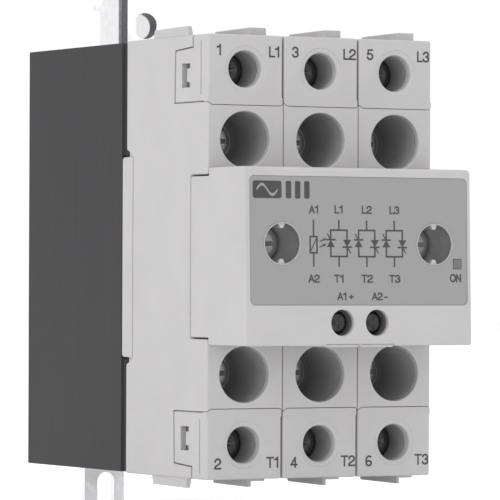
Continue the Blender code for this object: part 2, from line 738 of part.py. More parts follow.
# ---------------------------------------------------------------- assembly
def build_poles(relay, finishes):
    base_mesh, screw, cage = pole_base(), clamp_screw(), clamp_cage()
    fixing, substrate, pair = fixing_screw(), power_substrate(), thyristor_pair()
    by_side = {name: (terminal_cover(side), busbar(side)) for name, side in SIDES}
    for number, x in enumerate(POLE_CENTRES, 1):
        pole = empty(f"pole_{number}", (x, FACE_Y, 0), relay)
        place(f"pole_base_{number}", base_mesh, finishes["inner"], pole)
        place(f"power_substrate_{number}", substrate, finishes["ceramic"], pole)
        place(f"thyristor_pair_{number}", pair, finishes["device"], pole)
        for name, side in SIDES:
            tag = f"{name}{number}"
            cover, bar = by_side[name]
            place(f"terminal_cover_{tag}", cover, finishes["light"], pole)
            place(f"busbar_{tag}", bar, finishes["copper"], pole)
            place(f"clamp_screw_{tag}", screw, finishes["zinc"], pole, (0, 0, side * TERMINAL_Z))
            place(f"clamp_cage_{tag}", cage, finishes["zinc"], pole, (0, 0, side * TERMINAL_Z))
            place(f"fixing_screw_{tag}", fixing, finishes["zinc"], pole, (0, 0, side * FIXING_Z))


def build_control_module(relay, finishes):
    module = empty("control_module", (0, FACE_Y, 0), relay)
    place("control_housing", control_housing(), finishes["light"], module)
    place("label_panel", label_panel(), finishes["label"], module)
    place("control_base", control_base(), finishes["inner"], module)
    place("control_board", control_board(), finishes["board"], module)
    place("led_light_pipe", led_light_pipe(), finishes["lens"], module, (LED_X, 0, LED_Z))
    screw, cage, contact, fixing = control_screw(), control_cage(), control_contact(), module_screw()
    for number, sign in enumerate((-1, 1), 1):
        at = (sign * CONTROL_X, 0, CONTROL_Z)
        place(f"control_screw_{number}", screw, finishes["zinc"], module, at)
        place(f"control_cage_{number}", cage, finishes["zinc"], module, at)
        place(f"control_contact_{number}", contact, finishes["copper"], module, (sign * CONTROL_X, 0, 0))
        spot = (sign * MODULE_SCREW_X, 0, MODULE_SCREW_Z)
        place(f"module_screw_{number}", fixing, finishes["zinc"], module, spot)


def build_rail_fixing(relay, finishes):
    place("heat_sink", heat_sink(), finishes["sink"], relay)
    place("rail_bracket", rail_bracket(), finishes["zinc"], relay)
    place("rail_latch", rail_latch(), finishes["zinc"], relay)
    place("latch_spring", latch_spring(), finishes["zinc"], relay)
    screw = bracket_screw()
    for number, z in enumerate(BRACKET_SCREW_ZS, 1):
        place(f"bracket_screw_{number}", screw, finishes["zinc"], relay, (0, 0, z))


def build():
    for old in list(bpy.data.objects):
        bpy.data.objects.remove(old)
    finishes = {
        "light": material("light_grey_plastic", (0.47, 0.46, 0.465), 0.5),
        "inner": material("grey_plastic", (0.33, 0.332, 0.334), 0.55),
        "label": material("label_grey", (0.36, 0.36, 0.37), 0.45),
        "sink": material("anodised_aluminium", (0.045, 0.042, 0.046), 0.45, 0.3),
        "zinc": material("zinc_plated_steel", (0.62, 0.62, 0.63), 0.3, 1.0),
        "copper": material("tinned_copper", (0.66, 0.52, 0.42), 0.35, 1.0),
        "ceramic": material("ceramic", (0.8, 0.8, 0.78), 0.5),
        "device": material("moulded_epoxy", (0.03, 0.03, 0.03), 0.5),
        "board": material("circuit_board", (0.05, 0.2, 0.09), 0.45),
        "lens": material("smoked_lens", (0.1, 0.1, 0.1), 0.25),
    }
    relay = empty("relay")
    place("housing_shell", housing_shell(), finishes["light"], relay, (0, FACE_Y, 0))
    build_poles(relay, finishes)
    build_control_module(relay, finishes)
    build_rail_fixing(relay, finishes)


build()
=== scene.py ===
"""Looks of a three-pole solid state relay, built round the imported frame.

Finely shaped pieces stand for the mouldings, screws and sheet metal that show, printed
marks lie on the covers and the front panel, and every piece has a procedural material.
Shapes are drawn in millimetres in the row frame: X across the poles, -Y the front, +Z up.
"""

import math

import bmesh
import bpy
from mathutils import Matrix, Vector


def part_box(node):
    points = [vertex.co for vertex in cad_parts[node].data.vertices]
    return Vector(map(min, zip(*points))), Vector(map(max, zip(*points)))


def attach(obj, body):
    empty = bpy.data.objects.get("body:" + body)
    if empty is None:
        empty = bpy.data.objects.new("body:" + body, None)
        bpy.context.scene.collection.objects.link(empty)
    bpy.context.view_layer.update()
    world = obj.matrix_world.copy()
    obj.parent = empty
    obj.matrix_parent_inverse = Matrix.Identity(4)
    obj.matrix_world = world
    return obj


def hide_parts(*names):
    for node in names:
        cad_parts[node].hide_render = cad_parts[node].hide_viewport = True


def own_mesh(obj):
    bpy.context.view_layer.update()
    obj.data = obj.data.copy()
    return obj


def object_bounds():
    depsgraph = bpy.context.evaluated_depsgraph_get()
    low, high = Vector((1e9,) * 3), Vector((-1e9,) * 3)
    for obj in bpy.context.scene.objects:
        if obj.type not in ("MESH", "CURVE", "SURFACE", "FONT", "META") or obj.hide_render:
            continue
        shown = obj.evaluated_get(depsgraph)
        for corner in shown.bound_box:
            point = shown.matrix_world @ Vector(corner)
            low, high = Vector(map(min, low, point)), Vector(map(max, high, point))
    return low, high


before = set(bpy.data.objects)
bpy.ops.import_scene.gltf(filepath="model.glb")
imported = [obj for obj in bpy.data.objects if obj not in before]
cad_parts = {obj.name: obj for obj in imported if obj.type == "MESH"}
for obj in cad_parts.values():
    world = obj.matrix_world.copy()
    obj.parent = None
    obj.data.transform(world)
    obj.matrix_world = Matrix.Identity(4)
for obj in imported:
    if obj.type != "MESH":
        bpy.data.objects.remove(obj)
cad_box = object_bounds()

MM = 0.001
GAP = 0.3
SEAM = 0.12  # what shows between the covers and the housing
COVER_SWELL = 0.03  # how much wider a cover is drawn on each side


# ---- places taken from the frame
def low_mm(node):
    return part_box(node)[0] / MM


def high_mm(node):
    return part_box(node)[1] / MM


def centre_mm(node):
    return (low_mm(node) + high_mm(node)) / 2


FACE = low_mm("housing_shell").y  # the terminal face; depths run back from it


def depths(node):
    """A node's front and back, in depths from the terminal face."""
    return low_mm(node).y - FACE, high_mm(node).y - FACE


REAR = depths("heat_sink")[0] - GAP
HALF_WIDTH = high_mm("housing_shell").x
SINK_TOP = high_mm("heat_sink").z
HALF_HEIGHT = SINK_TOP + 0.2
POLE_CENTRES = [centre_mm(f"pole_base_{number}").x for number in (1, 2, 3)]
POLE_PITCH = POLE_CENTRES[1] - POLE_CENTRES[0]
TERMINAL_Z = centre_mm("clamp_screw_l1").z
FIXING_Z = centre_mm("fixing_screw_l1").z
COVER_Z = low_mm("terminal_cover_l1").z  # lower edge of an upper cover's front plate
FLAP_Z = COVER_Z + 0.6  # lower edge of its side flaps
COVER_HALF = (high_mm("terminal_cover_l1").x - low_mm("terminal_cover_l1").x) / 2
MODULE_SCREW = centre_mm("module_screw_2")
CONTROL_SCREW = centre_mm("control_screw_2")
LED = centre_mm("led_light_pipe")
SIDES = (("l", 1), ("t", -1))  # line terminals above, load terminals below

# Housing and pole bases, in depths from the terminal face
WALL = 1.4
SIDE_WALL = 1.35
BAY_Z = 16.9
BAY_DEPTH = 7.6
WELL_RADIUS = 5.8
WELL_DEPTH = 14.5
BORE_RADIUS = 3.75
SHELF_DEPTH = 8.8
COVER_PLATE = 2.0
COVER_FLAP = 0.85
WINDOW_ZS = (35.0, 40.0)  # snap window in each side flap
WINDOW_PAD = 0.45  # how much thicker the flap is round its window
TONGUE_Z = 21.6
TONGUE = 1.3  # thickness of the snap tongues over the heat sink's sides
TONGUE_REACH = 1.5
TONGUE_FRONT = 33.5
RIB_HEIGHT = 2.0
SIDE_RIB_INSET = 0.4
COVER_TOP_DEPTH = 6.5
FLAP_REAR = 14.4
FLAP_TOP = 43.3
CHAMBER_HALF = 6.0
CHAMBER_FRONT = 10.0
CHAMBER_BACK = 26.7
CHAMBER_FLOOR = 30.9
CAVITY_HALF = 6.2  # the power cavity behind the chambers
CAVITY_TOP = 31.2
CAVITY_FRONT = 31.0
SCREW_HOLE = 2.9  # radius of the holes for the clamp and fixing screws
MODULE_SCREW_HOLE = 2.2
PAST_END = 47.0  # beyond the housing's end faces
PAST_REAR = 37.0  # beyond its rear face

# Control module
MODULE_REACH = 15.95
MODULE_LEAN = 0.0249
LABEL_X = (-25.75, 26.0)
LABEL_Z = (-9.85, 16.45)
LABEL_CORNER = 1.1
LABEL_GAP = 0.05
LABEL_SINK = 0.12  # how far the panel lies behind the module's front
LIP_DROP = 0.6  # how far the lips in front of the wire entries hang in the CAD node
LIP_HANG = 0.28  # and how far they are drawn
LIP_HALF_WIDTH = 3.9
LIP_DEPTHS = (-16.1, -1.6)
ENTRY_HALF_WIDTH = 3.4
LAMP_HALF = 1.1
MODULE_SIDE_WALL = 1.65
MODULE_ROOM = (-13.6, 8.0)  # depths of the hollow inside the module
MODULE_WELL = 4.12
DRIVER_HOLE = 2.66
RIM_DEPTH = 0.35
DRIVER_RIM = 0.9
TAB_BACK = -14.3

# Bracket and latch
BRACKET_FRONT = low_mm("rail_bracket").y
BRACKET_TOP = high_mm("rail_bracket").z
FLANGE_BACK = high_mm("rail_bracket").y
BRACKET_LOW = -45.6
BRACKET_SHEET = 1.5
EAR_LOW = 46.5
EAR_DEPTH = 3.3
BRACKET_HOLE_Z = 52.0
BRACKET_HOLE = 2.85
BRACKET_SCREW_ZS = [centre_mm(f"bracket_screw_{number}").z for number in (1, 2)]
RAIL_HALF = 17.5
LATCH_LOW = low_mm("rail_latch").z
STEM = (-3.6, 3.6)  # the latch's slider and hook
HOOK_TOP = -15.2
FORK_LEFT = low_mm("rail_latch").x
FORK_RIGHT = 0.4
FORK_SLOT_X = -4.2
FORK_SLOT_TOP = -50.4  # centre of the slot's round end
FORK_SLOT_RADIUS = 2.1

# Surface quality
ROUND = 64  # sides of a round hole that shows
FINE = 96
SHARP = math.radians(32)


# ---- materials
NOISE_RANGE = (0.3, 0.7)  # where most of a noise's values lie


def nodes_of(name):
    made = bpy.data.materials.new(name)
    made.use_nodes = True
    tree = made.node_tree
    return made, tree, tree.nodes["Principled BSDF"]


def added(tree, kind, **values):
    """A new node with its inputs set; underscores stand for the spaces in their names."""
    node = tree.nodes.new(f"ShaderNode{kind}")
    for name, value in values.items():
        node.inputs[name.replace("_", " ")].default_value = value
    return node


def object_space(tree, stretch=(1.0, 1.0, 1.0)):
    """Coordinates fixed to the piece, stretched so that a pattern can run along one axis."""
    place = added(tree, "TexCoord")
    mapping = added(tree, "Mapping", Scale=stretch)
    tree.links.new(place.outputs["Object"], mapping.inputs["Vector"])
    return mapping.outputs["Vector"]


def noise(tree, space, size, detail=3.0, roughness=0.55):
    """Noise whose grains measure about size millimetres."""
    grain = added(tree, "TexNoise", Scale=1.0 / (size * MM), Detail=detail, Roughness=roughness)
    tree.links.new(space, grain.inputs["Vector"])
    return grain.outputs["Fac"]


def ranged(tree, value, low, high, source=NOISE_RANGE):
    """A value that runs over the source's span, spread between low and high."""
    ends = {"From_Min": source[0], "From_Max": source[1], "To_Min": low, "To_Max": high}
    spread = added(tree, "MapRange", **ends)
    tree.links.new(value, spread.inputs["Value"])
    return spread.outputs["Result"]


def tinted(tree, value, colour, change):
    """A colour that varies by the given share, up and down, with a noise value."""
    ramp = added(tree, "ValToRGB")
    for stop, place, share in zip(ramp.color_ramp.elements, NOISE_RANGE, (1 - change, 1 + change)):
        stop.position = place
        stop.color = (*[min(1.0, part * share) for part in colour], 1.0)
    tree.links.new(value, ramp.inputs["Fac"])
    return ramp.outputs["Color"]


def bumped(tree, shader, heights):
    """Stacks bumps on the shader's normal; heights are (value, depth in mm, strength)."""
    normal = None
    for value, depth, strength in heights:
        bump = added(tree, "Bump", Distance=depth * MM, Strength=strength)
        tree.links.new(value, bump.inputs["Height"])
        if normal:
            tree.links.new(normal, bump.inputs["Normal"])
        normal = bump.outputs["Normal"]
    tree.links.new(normal, shader.inputs["Normal"])


def moulded(name, colour, rough, grain=0.16, depth=0.012, cloud=0.025):
    """Injection-moulded plastic: spark-eroded grain, faint flow clouds, uneven gloss."""
    made, tree, shader = nodes_of(name)
    space = object_space(tree)
    clouds = noise(tree, space, 9.0, 4.0)
    fine = noise(tree, space, grain, 2.0)
    waves = noise(tree, space, 4.0, 1.0)
    tree.links.new(tinted(tree, clouds, colour, cloud), shader.inputs["Base Color"])
    tree.links.new(ranged(tree, fine, rough - 0.05, rough + 0.07), shader.inputs["Roughness"])
    bumped(tree, shader, [(waves, 0.02, 0.25), (fine, depth, 0.6)])
    return made


def rolled(name, colour, rough, lay=(1.0, 1.0, 0.06), grain=0.12, mottle=0.06, metallic=1.0):
    """Metal with fine lines along its rolling or drawing direction, and a mottled plating."""
    made, tree, shader = nodes_of(name)
    lines = noise(tree, object_space(tree, lay), grain, 3.0)
    patches = noise(tree, object_space(tree), 1.6, 3.0)
    tree.links.new(tinted(tree, patches, colour, mottle), shader.inputs["Base Color"])
    tree.links.new(ranged(tree, patches, rough - 0.06, rough + 0.08), shader.inputs["Roughness"])
    shader.inputs["Metallic"].default_value = metallic
    bumped(tree, shader, [(patches, 0.01, 0.2), (lines, 0.006, 0.5)])
    return made


def anodised(name, colour):
    """Dark satin anodised extrusion, with die lines along Z."""
    made, tree, shader = nodes_of(name)
    lines = noise(tree, object_space(tree, (1.0, 1.0, 0.012)), 0.35, 3.0)
    etch = noise(tree, object_space(tree), 0.12, 2.0)
    clouds = noise(tree, object_space(tree, (1.0, 1.0, 0.3)), 12.0, 3.0)
    tree.links.new(tinted(tree, clouds, colour, 0.03), shader.inputs["Base Color"])
    tree.links.new(ranged(tree, lines, 0.47, 0.53), shader.inputs["Roughness"])
    shader.inputs["Metallic"].default_value = 0.25
    shader.inputs["Specular IOR Level"].default_value = 0.4
    bumped(tree, shader, [(lines, 0.002, 0.06), (etch, 0.006, 0.5)])
    return made


def cut_edge():
    """The punched edge of zinc-plated steel: torn grain across the sheet, duller and darker."""
    made, tree, shader = nodes_of("punched_steel_edge")
    torn = noise(tree, object_space(tree, (1.0, 0.2, 1.0)), 0.25, 4.0, 0.7)
    tree.links.new(tinted(tree, torn, (0.13, 0.13, 0.135), 0.4), shader.inputs["Base Color"])
    tree.links.new(ranged(tree, torn, 0.42, 0.65), shader.inputs["Roughness"])
    shader.inputs["Metallic"].default_value = 0.9
    bumped(tree, shader, [(torn, 0.05, 0.6)])
    return made


def shaded_wall(name, rim, inside, depths):
    """A moulded wall with painted shade and light: its colour changes from the rim colour at a well's mouth
    to the inside colour further in, between two depths.
    """
    made = moulded(name, inside, 0.5, grain=0.3, depth=0.01, cloud=0.04)
    tree = made.node_tree
    place = added(tree, "SeparateXYZ")
    tree.links.new(object_space(tree), place.inputs["Vector"])
    share = ranged(tree, place.outputs["Y"], 0.0, 1.0, [value * MM for value in depths])
    blend = added(tree, "Mix")
    blend.data_type = "RGBA"
    blend.inputs["A"].default_value = (*rim, 1.0)
    blend.inputs["B"].default_value = (*inside, 1.0)
    tree.links.new(share, blend.inputs["Factor"])
    shader = tree.nodes["Principled BSDF"]
    tree.links.new(blend.outputs["Result"], shader.inputs["Base Color"])
    return made


def board_finish():
    """Green solder mask over a mesh of copper tracks."""
    made, tree, shader = nodes_of("circuit_board")
    space = object_space(tree)
    colours = {
        "Color1": (0.012, 0.13, 0.05, 1.0),
        "Color2": (0.014, 0.15, 0.06, 1.0),
        "Mortar": (0.03, 0.24, 0.09, 1.0),
    }
    tracks = added(tree, "TexBrick", Scale=220.0, Mortar_Size=0.012, **colours)
    turn = added(tree, "Mapping", Rotation=(math.pi / 2, 0.0, 0.0))
    tree.links.new(space, turn.inputs["Vector"])
    tree.links.new(turn.outputs["Vector"], tracks.inputs["Vector"])
    tree.links.new(tracks.outputs["Color"], shader.inputs["Base Color"])
    mask = noise(tree, space, 0.8)
    tree.links.new(ranged(tree, mask, 0.25, 0.4), shader.inputs["Roughness"])
    bumped(tree, shader, [(tracks.outputs["Fac"], 0.03, 0.6)])
    return made


def floor_finish():
    made, tree, shader = nodes_of("pale_floor")
    clouds = noise(tree, object_space(tree), 400.0)
    tree.links.new(tinted(tree, clouds, (0.93, 0.93, 0.93), 0.01), shader.inputs["Base Color"])
    shader.inputs["Roughness"].default_value = 1.0
    shader.inputs["Specular IOR Level"].default_value = 0.0
    shader.inputs["Emission Color"].default_value = (1.0, 1.0, 1.0, 1.0)
    shader.inputs["Emission Strength"].default_value = 0.12
    return made


LIGHT = moulded("light_grey_plastic", (0.45, 0.441, 0.445), 0.5)
DARK = moulded("grey_plastic", (0.36, 0.361, 0.362), 0.5, grain=0.3, depth=0.01, cloud=0.04)
PANEL = moulded("panel_foil", (0.268, 0.268, 0.268), 0.4, grain=0.09, depth=0.008, cloud=0.012)
INK = moulded("printing_ink", (0.04, 0.04, 0.042), 0.5, grain=0.2, depth=0.004, cloud=0.15)
EPOXY = moulded("moulded_epoxy", (0.028, 0.028, 0.029), 0.42, grain=0.12, cloud=0.12)
# painted shade and light: the module wells' walls are dark near the mouth and light deeper in, to even out
# how the lamps light them
PAINTED_SHADE_WELL_WALL = shaded_wall("shaded_wall", (0.12, 0.12, 0.122), (0.6, 0.6, 0.6), (-15.6, -8.5))
# painted shade: a darker grey for the large wells' seats and the driver holes' walls, where shade falls
PAINTED_SHADE_GREY = moulded("painted_shade_grey_plastic", (0.15, 0.15, 0.152), 0.55, grain=0.3, depth=0.01, cloud=0.04)
CERAMIC = moulded("ceramic", (0.78, 0.77, 0.74), 0.5, grain=0.08, depth=0.005)
LENS = moulded("smoked_lens", (0.115, 0.115, 0.115), 0.2, grain=0.5, depth=0.002, cloud=0.05)
ZINC = rolled("zinc_plated_steel", (0.9, 0.9, 0.92), 0.32, mottle=0.03, metallic=0.9)
SCREW_STEEL = rolled("plated_screw_steel", (0.1, 0.1, 0.102), 0.5, (1.0, 0.3, 1.0), 0.2)
# painted shade: the control screws' steel is coloured near black to stand for the shade deep in the driver
# holes
SHADE_DARK_STEEL = rolled("shade_darkened_screw_steel", (0.055, 0.055, 0.057), 0.38, (1.0, 0.3, 1.0), 0.2)
GREY_STEEL = rolled("passivated_screw_steel", (0.42, 0.42, 0.42), 0.42, (1.0, 0.3, 1.0), 0.2)
DULL_STEEL = rolled("dull_screw_steel", (0.5, 0.5, 0.5), 0.5, (1.0, 0.3, 1.0), 0.2)
COPPER = rolled("tinned_copper", (0.74, 0.66, 0.58), 0.32)
ANODISED = anodised("anodised_aluminium", (0.026, 0.0235, 0.0262))
# painted shade: a darker copy of the anodising for the heat sink's step by the housing
ANODISED_STEP_SHADE = anodised("anodised_step_painted_shade", (0.015, 0.0137, 0.0151))
CUT_EDGE = cut_edge()
BOARD = board_finish()


# ---- shapes, in millimetres
def mesh_of(shape):
    bmesh.ops.recalc_face_normals(shape, faces=shape.faces)
    mesh = bpy.data.meshes.new("shape")
    shape.to_mesh(mesh)
    shape.free()
    return mesh


def along(axis, point, height):
    """The 3-D place of a 2-D outline point, at a height along the axis."""
    u, v = point
    places = {"X": (height, u, v), "Y": (u, height, v), "Z": (u, v, height)}
    return [value * MM for value in places[axis]]


def skin(shape, rings):
    """Closes the shape through rings with equal numbers of points."""
    for low, high in zip(rings, rings[1:]):
        for i in range(len(low)):
            j = (i + 1) % len(low)
            shape.faces.new((low[i], low[j], high[j], high[i]))
    shape.faces.new(rings[0])
    shape.faces.new(reversed(rings[-1]))


def lofted(outlines, axis, heights, turn=None):
    """A closed shape through outlines, one at each height."""
    shape = bmesh.new()
    rings = []
    for outline, height in zip(outlines, heights):
        rings.append([shape.verts.new(along(axis, point, height)) for point in outline])
    skin(shape, rings)
    if turn:
        shape.transform(turn)
    return mesh_of(shape)


def prism(outline, axis, span, turn=None):
    return lofted([outline, outline], axis, span, turn)


def cuboid(x, y, z):
    return prism([(x[0], y[0]), (x[1], y[0]), (x[1], y[1]), (x[0], y[1])], "Z", z)


def arc(radius, steps, centre=(0.0, 0.0), start=0.0, sweep=2 * math.pi):
    """Points on an arc; a full circle leaves out its repeated last point."""
    count = steps if sweep == 2 * math.pi else steps + 1
    angles = [start + sweep * i / steps for i in range(count)]
    return [(centre[0] + radius * math.cos(a), centre[1] + radius * math.sin(a)) for a in angles]


def turned(profile, sides=ROUND, x=0.0, z=0.0):
    """A shape turned about an axis along Y, from (radius, y) points."""
    circles = [arc(radius, sides, (x, z)) for radius, _ in profile]
    return lofted(circles, "Y", [y for _, y in profile])


def rod(x, z, radius, y, sides=ROUND):
    return turned([(radius, y[0]), (radius, y[1])], sides, x, z)


def mouthed(x, z, radius, mouth, lip, y, sides=FINE):
    """The cutter for a round hole from the mouth at y[0] to y[1], with a rounded lip."""
    profile = [(radius + lip, y[0] - 2.0)]
    for step in range(5):
        turn = step * math.pi / 8
        profile.append((radius + lip * (1 - math.sin(turn)), mouth + lip * (1 - math.cos(turn))))
    profile.append((radius, y[1]))
    return turned(profile, sides, x, z)


def rounded(x, z, radius, steps=8):
    """A rectangle's outline with round corners, from its spans."""
    corners = (
        (x[1] - radius, z[1] - radius, 0.0),
        (x[0] + radius, z[1] - radius, 0.5),
        (x[0] + radius, z[0] + radius, 1.0),
        (x[1] - radius, z[0] + radius, 1.5),
    )
    points = []
    for u, v, quarter in corners:
        points += arc(radius, steps, (u, v), quarter * math.pi, math.pi / 2)
    return points


def mirrored(outline):
    return list(outline) + [(u, -v) for u, v in reversed(outline)]


def flipped(outline, side):
    """An outline turned upside down for the load side."""
    return [(u, v * side) for u, v in outline]


def span(side, low, high):
    return sorted((side * low, side * high))


def evaluated(item):
    graph = bpy.context.evaluated_depsgraph_get()
    return bpy.data.meshes.new_from_object(item.evaluated_get(graph))


def linked(name, data):
    item = bpy.data.objects.new(name, data)
    bpy.context.scene.collection.objects.link(item)
    return item


def combined(base, add=(), cut=()):
    """The mesh of base with some shapes united to it, and then others cut away."""
    body = linked("body", base)
    tools = []
    for operation, meshes in (("UNION", add), ("DIFFERENCE", cut)):
        for mesh in meshes:
            tool = linked("tool", mesh)
            step = body.modifiers.new(operation, "BOOLEAN")
            step.operation = operation
            step.object = tool
            tools.append(tool)
    result = evaluated(body)
    for item in (body, *tools):
        bpy.data.objects.remove(item)
    return result


def round_edges(item, width, segments):
    """Adds a modifier that rounds the item's edges."""
    round_over = item.modifiers.new("round", "BEVEL")
    round_over.width = width * MM
    round_over.segments = segments
    round_over.limit_method = "ANGLE"
    round_over.angle_limit = math.radians(40)


def level_faces(item):
    """Adds a modifier that keeps flat faces flat in their shading."""
    normals = item.modifiers.new("level_faces", "WEIGHTED_NORMAL")
    normals.keep_sharp = True


def united(shapes):
    return combined(shapes[0], add=shapes[1:])


def softened(mesh, width, segments=3):
    """The mesh with its edges rounded."""
    body = linked("body", mesh)
    round_edges(body, width, segments)
    result = evaluated(body)
    bpy.data.objects.remove(body)
    return result


def joined(meshes):
    """Separate shapes gathered in one mesh."""
    shape = bmesh.new()
    for mesh in meshes:
        shape.from_mesh(mesh)
    mesh = bpy.data.meshes.new("shape")
    shape.to_mesh(mesh)
    shape.free()
    return mesh


def mark(mesh, finish, chosen):
    """Gives a second finish to the faces that are chosen by their centre and normal."""
    mesh.materials.append(finish)
    slot = len(mesh.materials) - 1
    for face in mesh.polygons:
        if chosen(face.center / MM, face.normal):
            face.material_index = slot


def show(name, mesh, finish, body, at, stands_for=()):
    """Adds a piece that rides on a CAD body and may stand for CAD nodes."""
    mesh = mesh.copy()
    mesh.materials.clear()
    mesh.materials.append(finish)
    mesh.shade_smooth()
    mesh.set_sharp_from_angle(angle=SHARP)
    piece = linked(name, mesh)
    piece.location = [value * MM for value in at]
    level_faces(piece)
    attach(piece, body)
    if stands_for:
        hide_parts(*stands_for)
    return piece


# ---- screws
def cross(width, slot):
    """The outline of a cross recess."""
    w, s = width / 2, slot / 2
    outline = []
    for quarter in range(4):
        c, d = round(math.cos(quarter * math.pi / 2)), round(math.sin(quarter * math.pi / 2))
        outline += [(u * c - v * d, u * d + v * c) for u, v in ((w, -s), (w, s), (s, s))]
    return outline


def pan_head(radius, front, seat, shank, tip, recess):
    """A pan-head screw; recess is the cross's (width, slot, depth)."""
    crown = min(1.0, (seat - front) * 0.6)
    profile = [(radius * 0.35, front), (radius * 0.6, front + 0.04)]
    for step in range(1, 7):
        turn = step * math.pi / 12
        profile.append((radius - crown * (1 - math.sin(turn)), front + crown * (1 - math.cos(turn)) + 0.04))
    profile += [(radius, seat - 0.1), (radius - 0.1, seat)]
    profile += [(shank, seat), (shank, tip - 0.5), (shank - 0.5, tip)]
    width, slot, depth = recess
    arms = [cross(width * 1.06, slot * 1.15), cross(width, slot), cross(width * 0.45, slot * 0.6)]
    cutter = lofted(arms, "Y", (front - 0.5, front + 0.12, front + depth))
    mouth = turned([(width * 0.56, front - 0.3), (width * 0.5, front + 0.02), (width * 0.24, front + 0.3)])
    return combined(turned(profile), cut=[cutter, mouth])


THREAD_ROWS = 6  # rows of points to each turn of a thread


def thread(radius, pitch, depth, y, sides=36):
    """A threaded shank: its radius follows a helix, and both ends are closed."""
    count = round((y[1] - y[0]) / pitch * THREAD_ROWS)
    circles, heights = [], []
    for row in range(count + 1):
        height = y[0] + (y[1] - y[0]) * row / count
        ring = []
        for i in range(sides):
            phase = (height / pitch - i / sides) % 1.0
            reach = radius - depth * abs(2 * phase - 1)
            angle = 2 * math.pi * i / sides
            ring.append((reach * math.cos(angle), reach * math.sin(angle)))
        circles.append(ring)
        heights.append(height)
    return lofted(circles, "Y", heights)


def countersunk(radius, face, shank, tip, recess):
    """A countersunk screw that faces +Y."""
    profile = [(shank - 0.4, tip), (shank, tip + 0.4), (shank, face - radius + shank)]
    profile += [(radius, face - 0.15), (radius - 0.1, face)]
    width, slot, depth = recess
    cutter = lofted([cross(width * 0.5, slot * 0.6), cross(width, slot)], "Y", (face - depth, face + 0.5))
    return combined(turned(profile), cut=[cutter])


# ---- housing
def flap_outline(side, grow=0.0):
    """The cover's side, in depth and height; grow widens it for the housing's notch."""
    points = [
        (-grow, FLAP_Z - grow),
        (FLAP_REAR + grow, FLAP_Z - grow),
        (FLAP_REAR - 0.3 + grow, FLAP_TOP - 0.5 + grow),
        (COVER_TOP_DEPTH + grow, FLAP_TOP + grow),
        (COVER_TOP_DEPTH + grow, HALF_HEIGHT + 5 * grow),
        (-grow, HALF_HEIGHT + 5 * grow),
    ]
    return flipped(points, side)


def lip_outline(side, grow=0.0):
    """The foot of a cover's front plate, with its corners cut off; grow widens it."""
    half = COVER_HALF + COVER_SWELL
    points = [
        (-half - grow, FLAP_Z + 1.0),
        (-half - grow, FLAP_Z - grow),
        (0.9 - half, COVER_Z - grow),
        (half - 0.5, COVER_Z - grow),
        (half + grow, COVER_Z + GAP - grow),
        (half + grow, FLAP_Z + 1.0),
    ]
    return flipped(points, side)


def guide_rib(side, x, height, depth, slope):
    """A cable guide on the housing's end face, over the spans x and depth."""
    top = HALF_HEIGHT + height
    front, rear = depth
    outline = [(front, 44.0), (front + slope, top), (rear - 1.0, top - 0.2), (rear, 44.0)]
    return softened(prism(flipped(outline, side), "X", x), 0.22)


def guide_ribs():
    """The cable guides: full ribs above, and thin ribs with a low strip beside them below."""
    edge, depth = -HALF_WIDTH + SIDE_RIB_INSET, (6.9, 23.0)
    ribs = [guide_rib(side, (edge, edge + 1.2), RIB_HEIGHT, (8.6, 25.2), 1.2) for _, side in SIDES]
    for x in POLE_CENTRES:
        ribs.append(guide_rib(1, (x + 4.8, x + 8.8), RIB_HEIGHT, depth, 0.1))
        ribs.append(guide_rib(-1, (x + 4.8, x + 5.6), RIB_HEIGHT, depth, 0.1))
        ribs.append(guide_rib(-1, (x + 5.4, x + 8.8), 0.8, depth, 0.1))
    return ribs


def tongues():
    """The snap tongues that reach back over the heat sink's sides."""
    level = TONGUE_Z - 0.4
    corners = rounded((TONGUE_FRONT, REAR + GAP + TONGUE_REACH), (-level, level), 0.8, 5)
    shapes = [prism(corners, "X", span(sign, HALF_WIDTH - TONGUE, HALF_WIDTH)) for sign in (-1, 1)]
    return [softened(shape, 0.15) for shape in shapes]


def tongue_notches():
    """Small notches at the rear edge of both sides, above and below a snap tongue."""
    level = TONGUE_Z - 0.4
    corner = [(32.9, TONGUE_Z), (37.0, TONGUE_Z + 1.9), (37.0, level), (33.2, level)]
    cutters = []
    for sign in (-1, 1):
        outer = span(sign, HALF_WIDTH - 0.8, HALF_WIDTH + 1)
        cutters += [prism(flipped(corner, side), "X", outer) for _, side in SIDES]
        groove = span(sign, HALF_WIDTH - 0.35, HALF_WIDTH + 1)
        cutters.append(cuboid(groove, (32.7, 33.0), (-level, level)))
    return cutters


def housing_mesh():
    outer = [(BAY_DEPTH, BAY_Z), (0, BAY_Z), (0, HALF_HEIGHT), (REAR, HALF_HEIGHT)]
    block = softened(prism(mirrored(outer), "X", (-HALF_WIDTH, HALF_WIDTH)), 0.45)
    hollow = [
        (BAY_DEPTH + WALL, BAY_Z + WALL),
        (WALL, BAY_Z + WALL),
        (WALL, HALF_HEIGHT - WALL),
        (REAR + 1, HALF_HEIGHT - WALL),
    ]
    inner = HALF_WIDTH - SIDE_WALL
    cutters = [prism(mirrored(hollow), "X", (-inner, inner))]
    for _, side in SIDES:
        cutters.append(prism(flap_outline(side, SEAM), "X", (-HALF_WIDTH - 1, HALF_WIDTH + 1)))
        for x in POLE_CENTRES:
            lip = [(u + x, v) for u, v in lip_outline(side, SEAM)]
            cutters.append(prism(lip, "Y", (-1, COVER_PLATE + GAP)))
            cutters.append(mouthed(x, side * FIXING_Z, WELL_RADIUS, 0.0, 0.25, (0.0, 3.0)))
            window = rounded((x - 5.9, x + 5.9), (CHAMBER_FRONT, CHAMBER_BACK), 0.6, 4)
            cutters.append(prism(window, "Z", span(side, FLAP_TOP - 0.3, PAST_END)))
        for x in (-POLE_PITCH / 2, POLE_PITCH / 2):
            cutters.append(cuboid((x - 0.12, x + 0.12), (-1, 0.4), span(side, BAY_Z - 1, FLAP_Z)))
    hollowed = combined(block, cut=cutters + tongue_notches())
    return combined(hollowed, add=guide_ribs() + tongues())


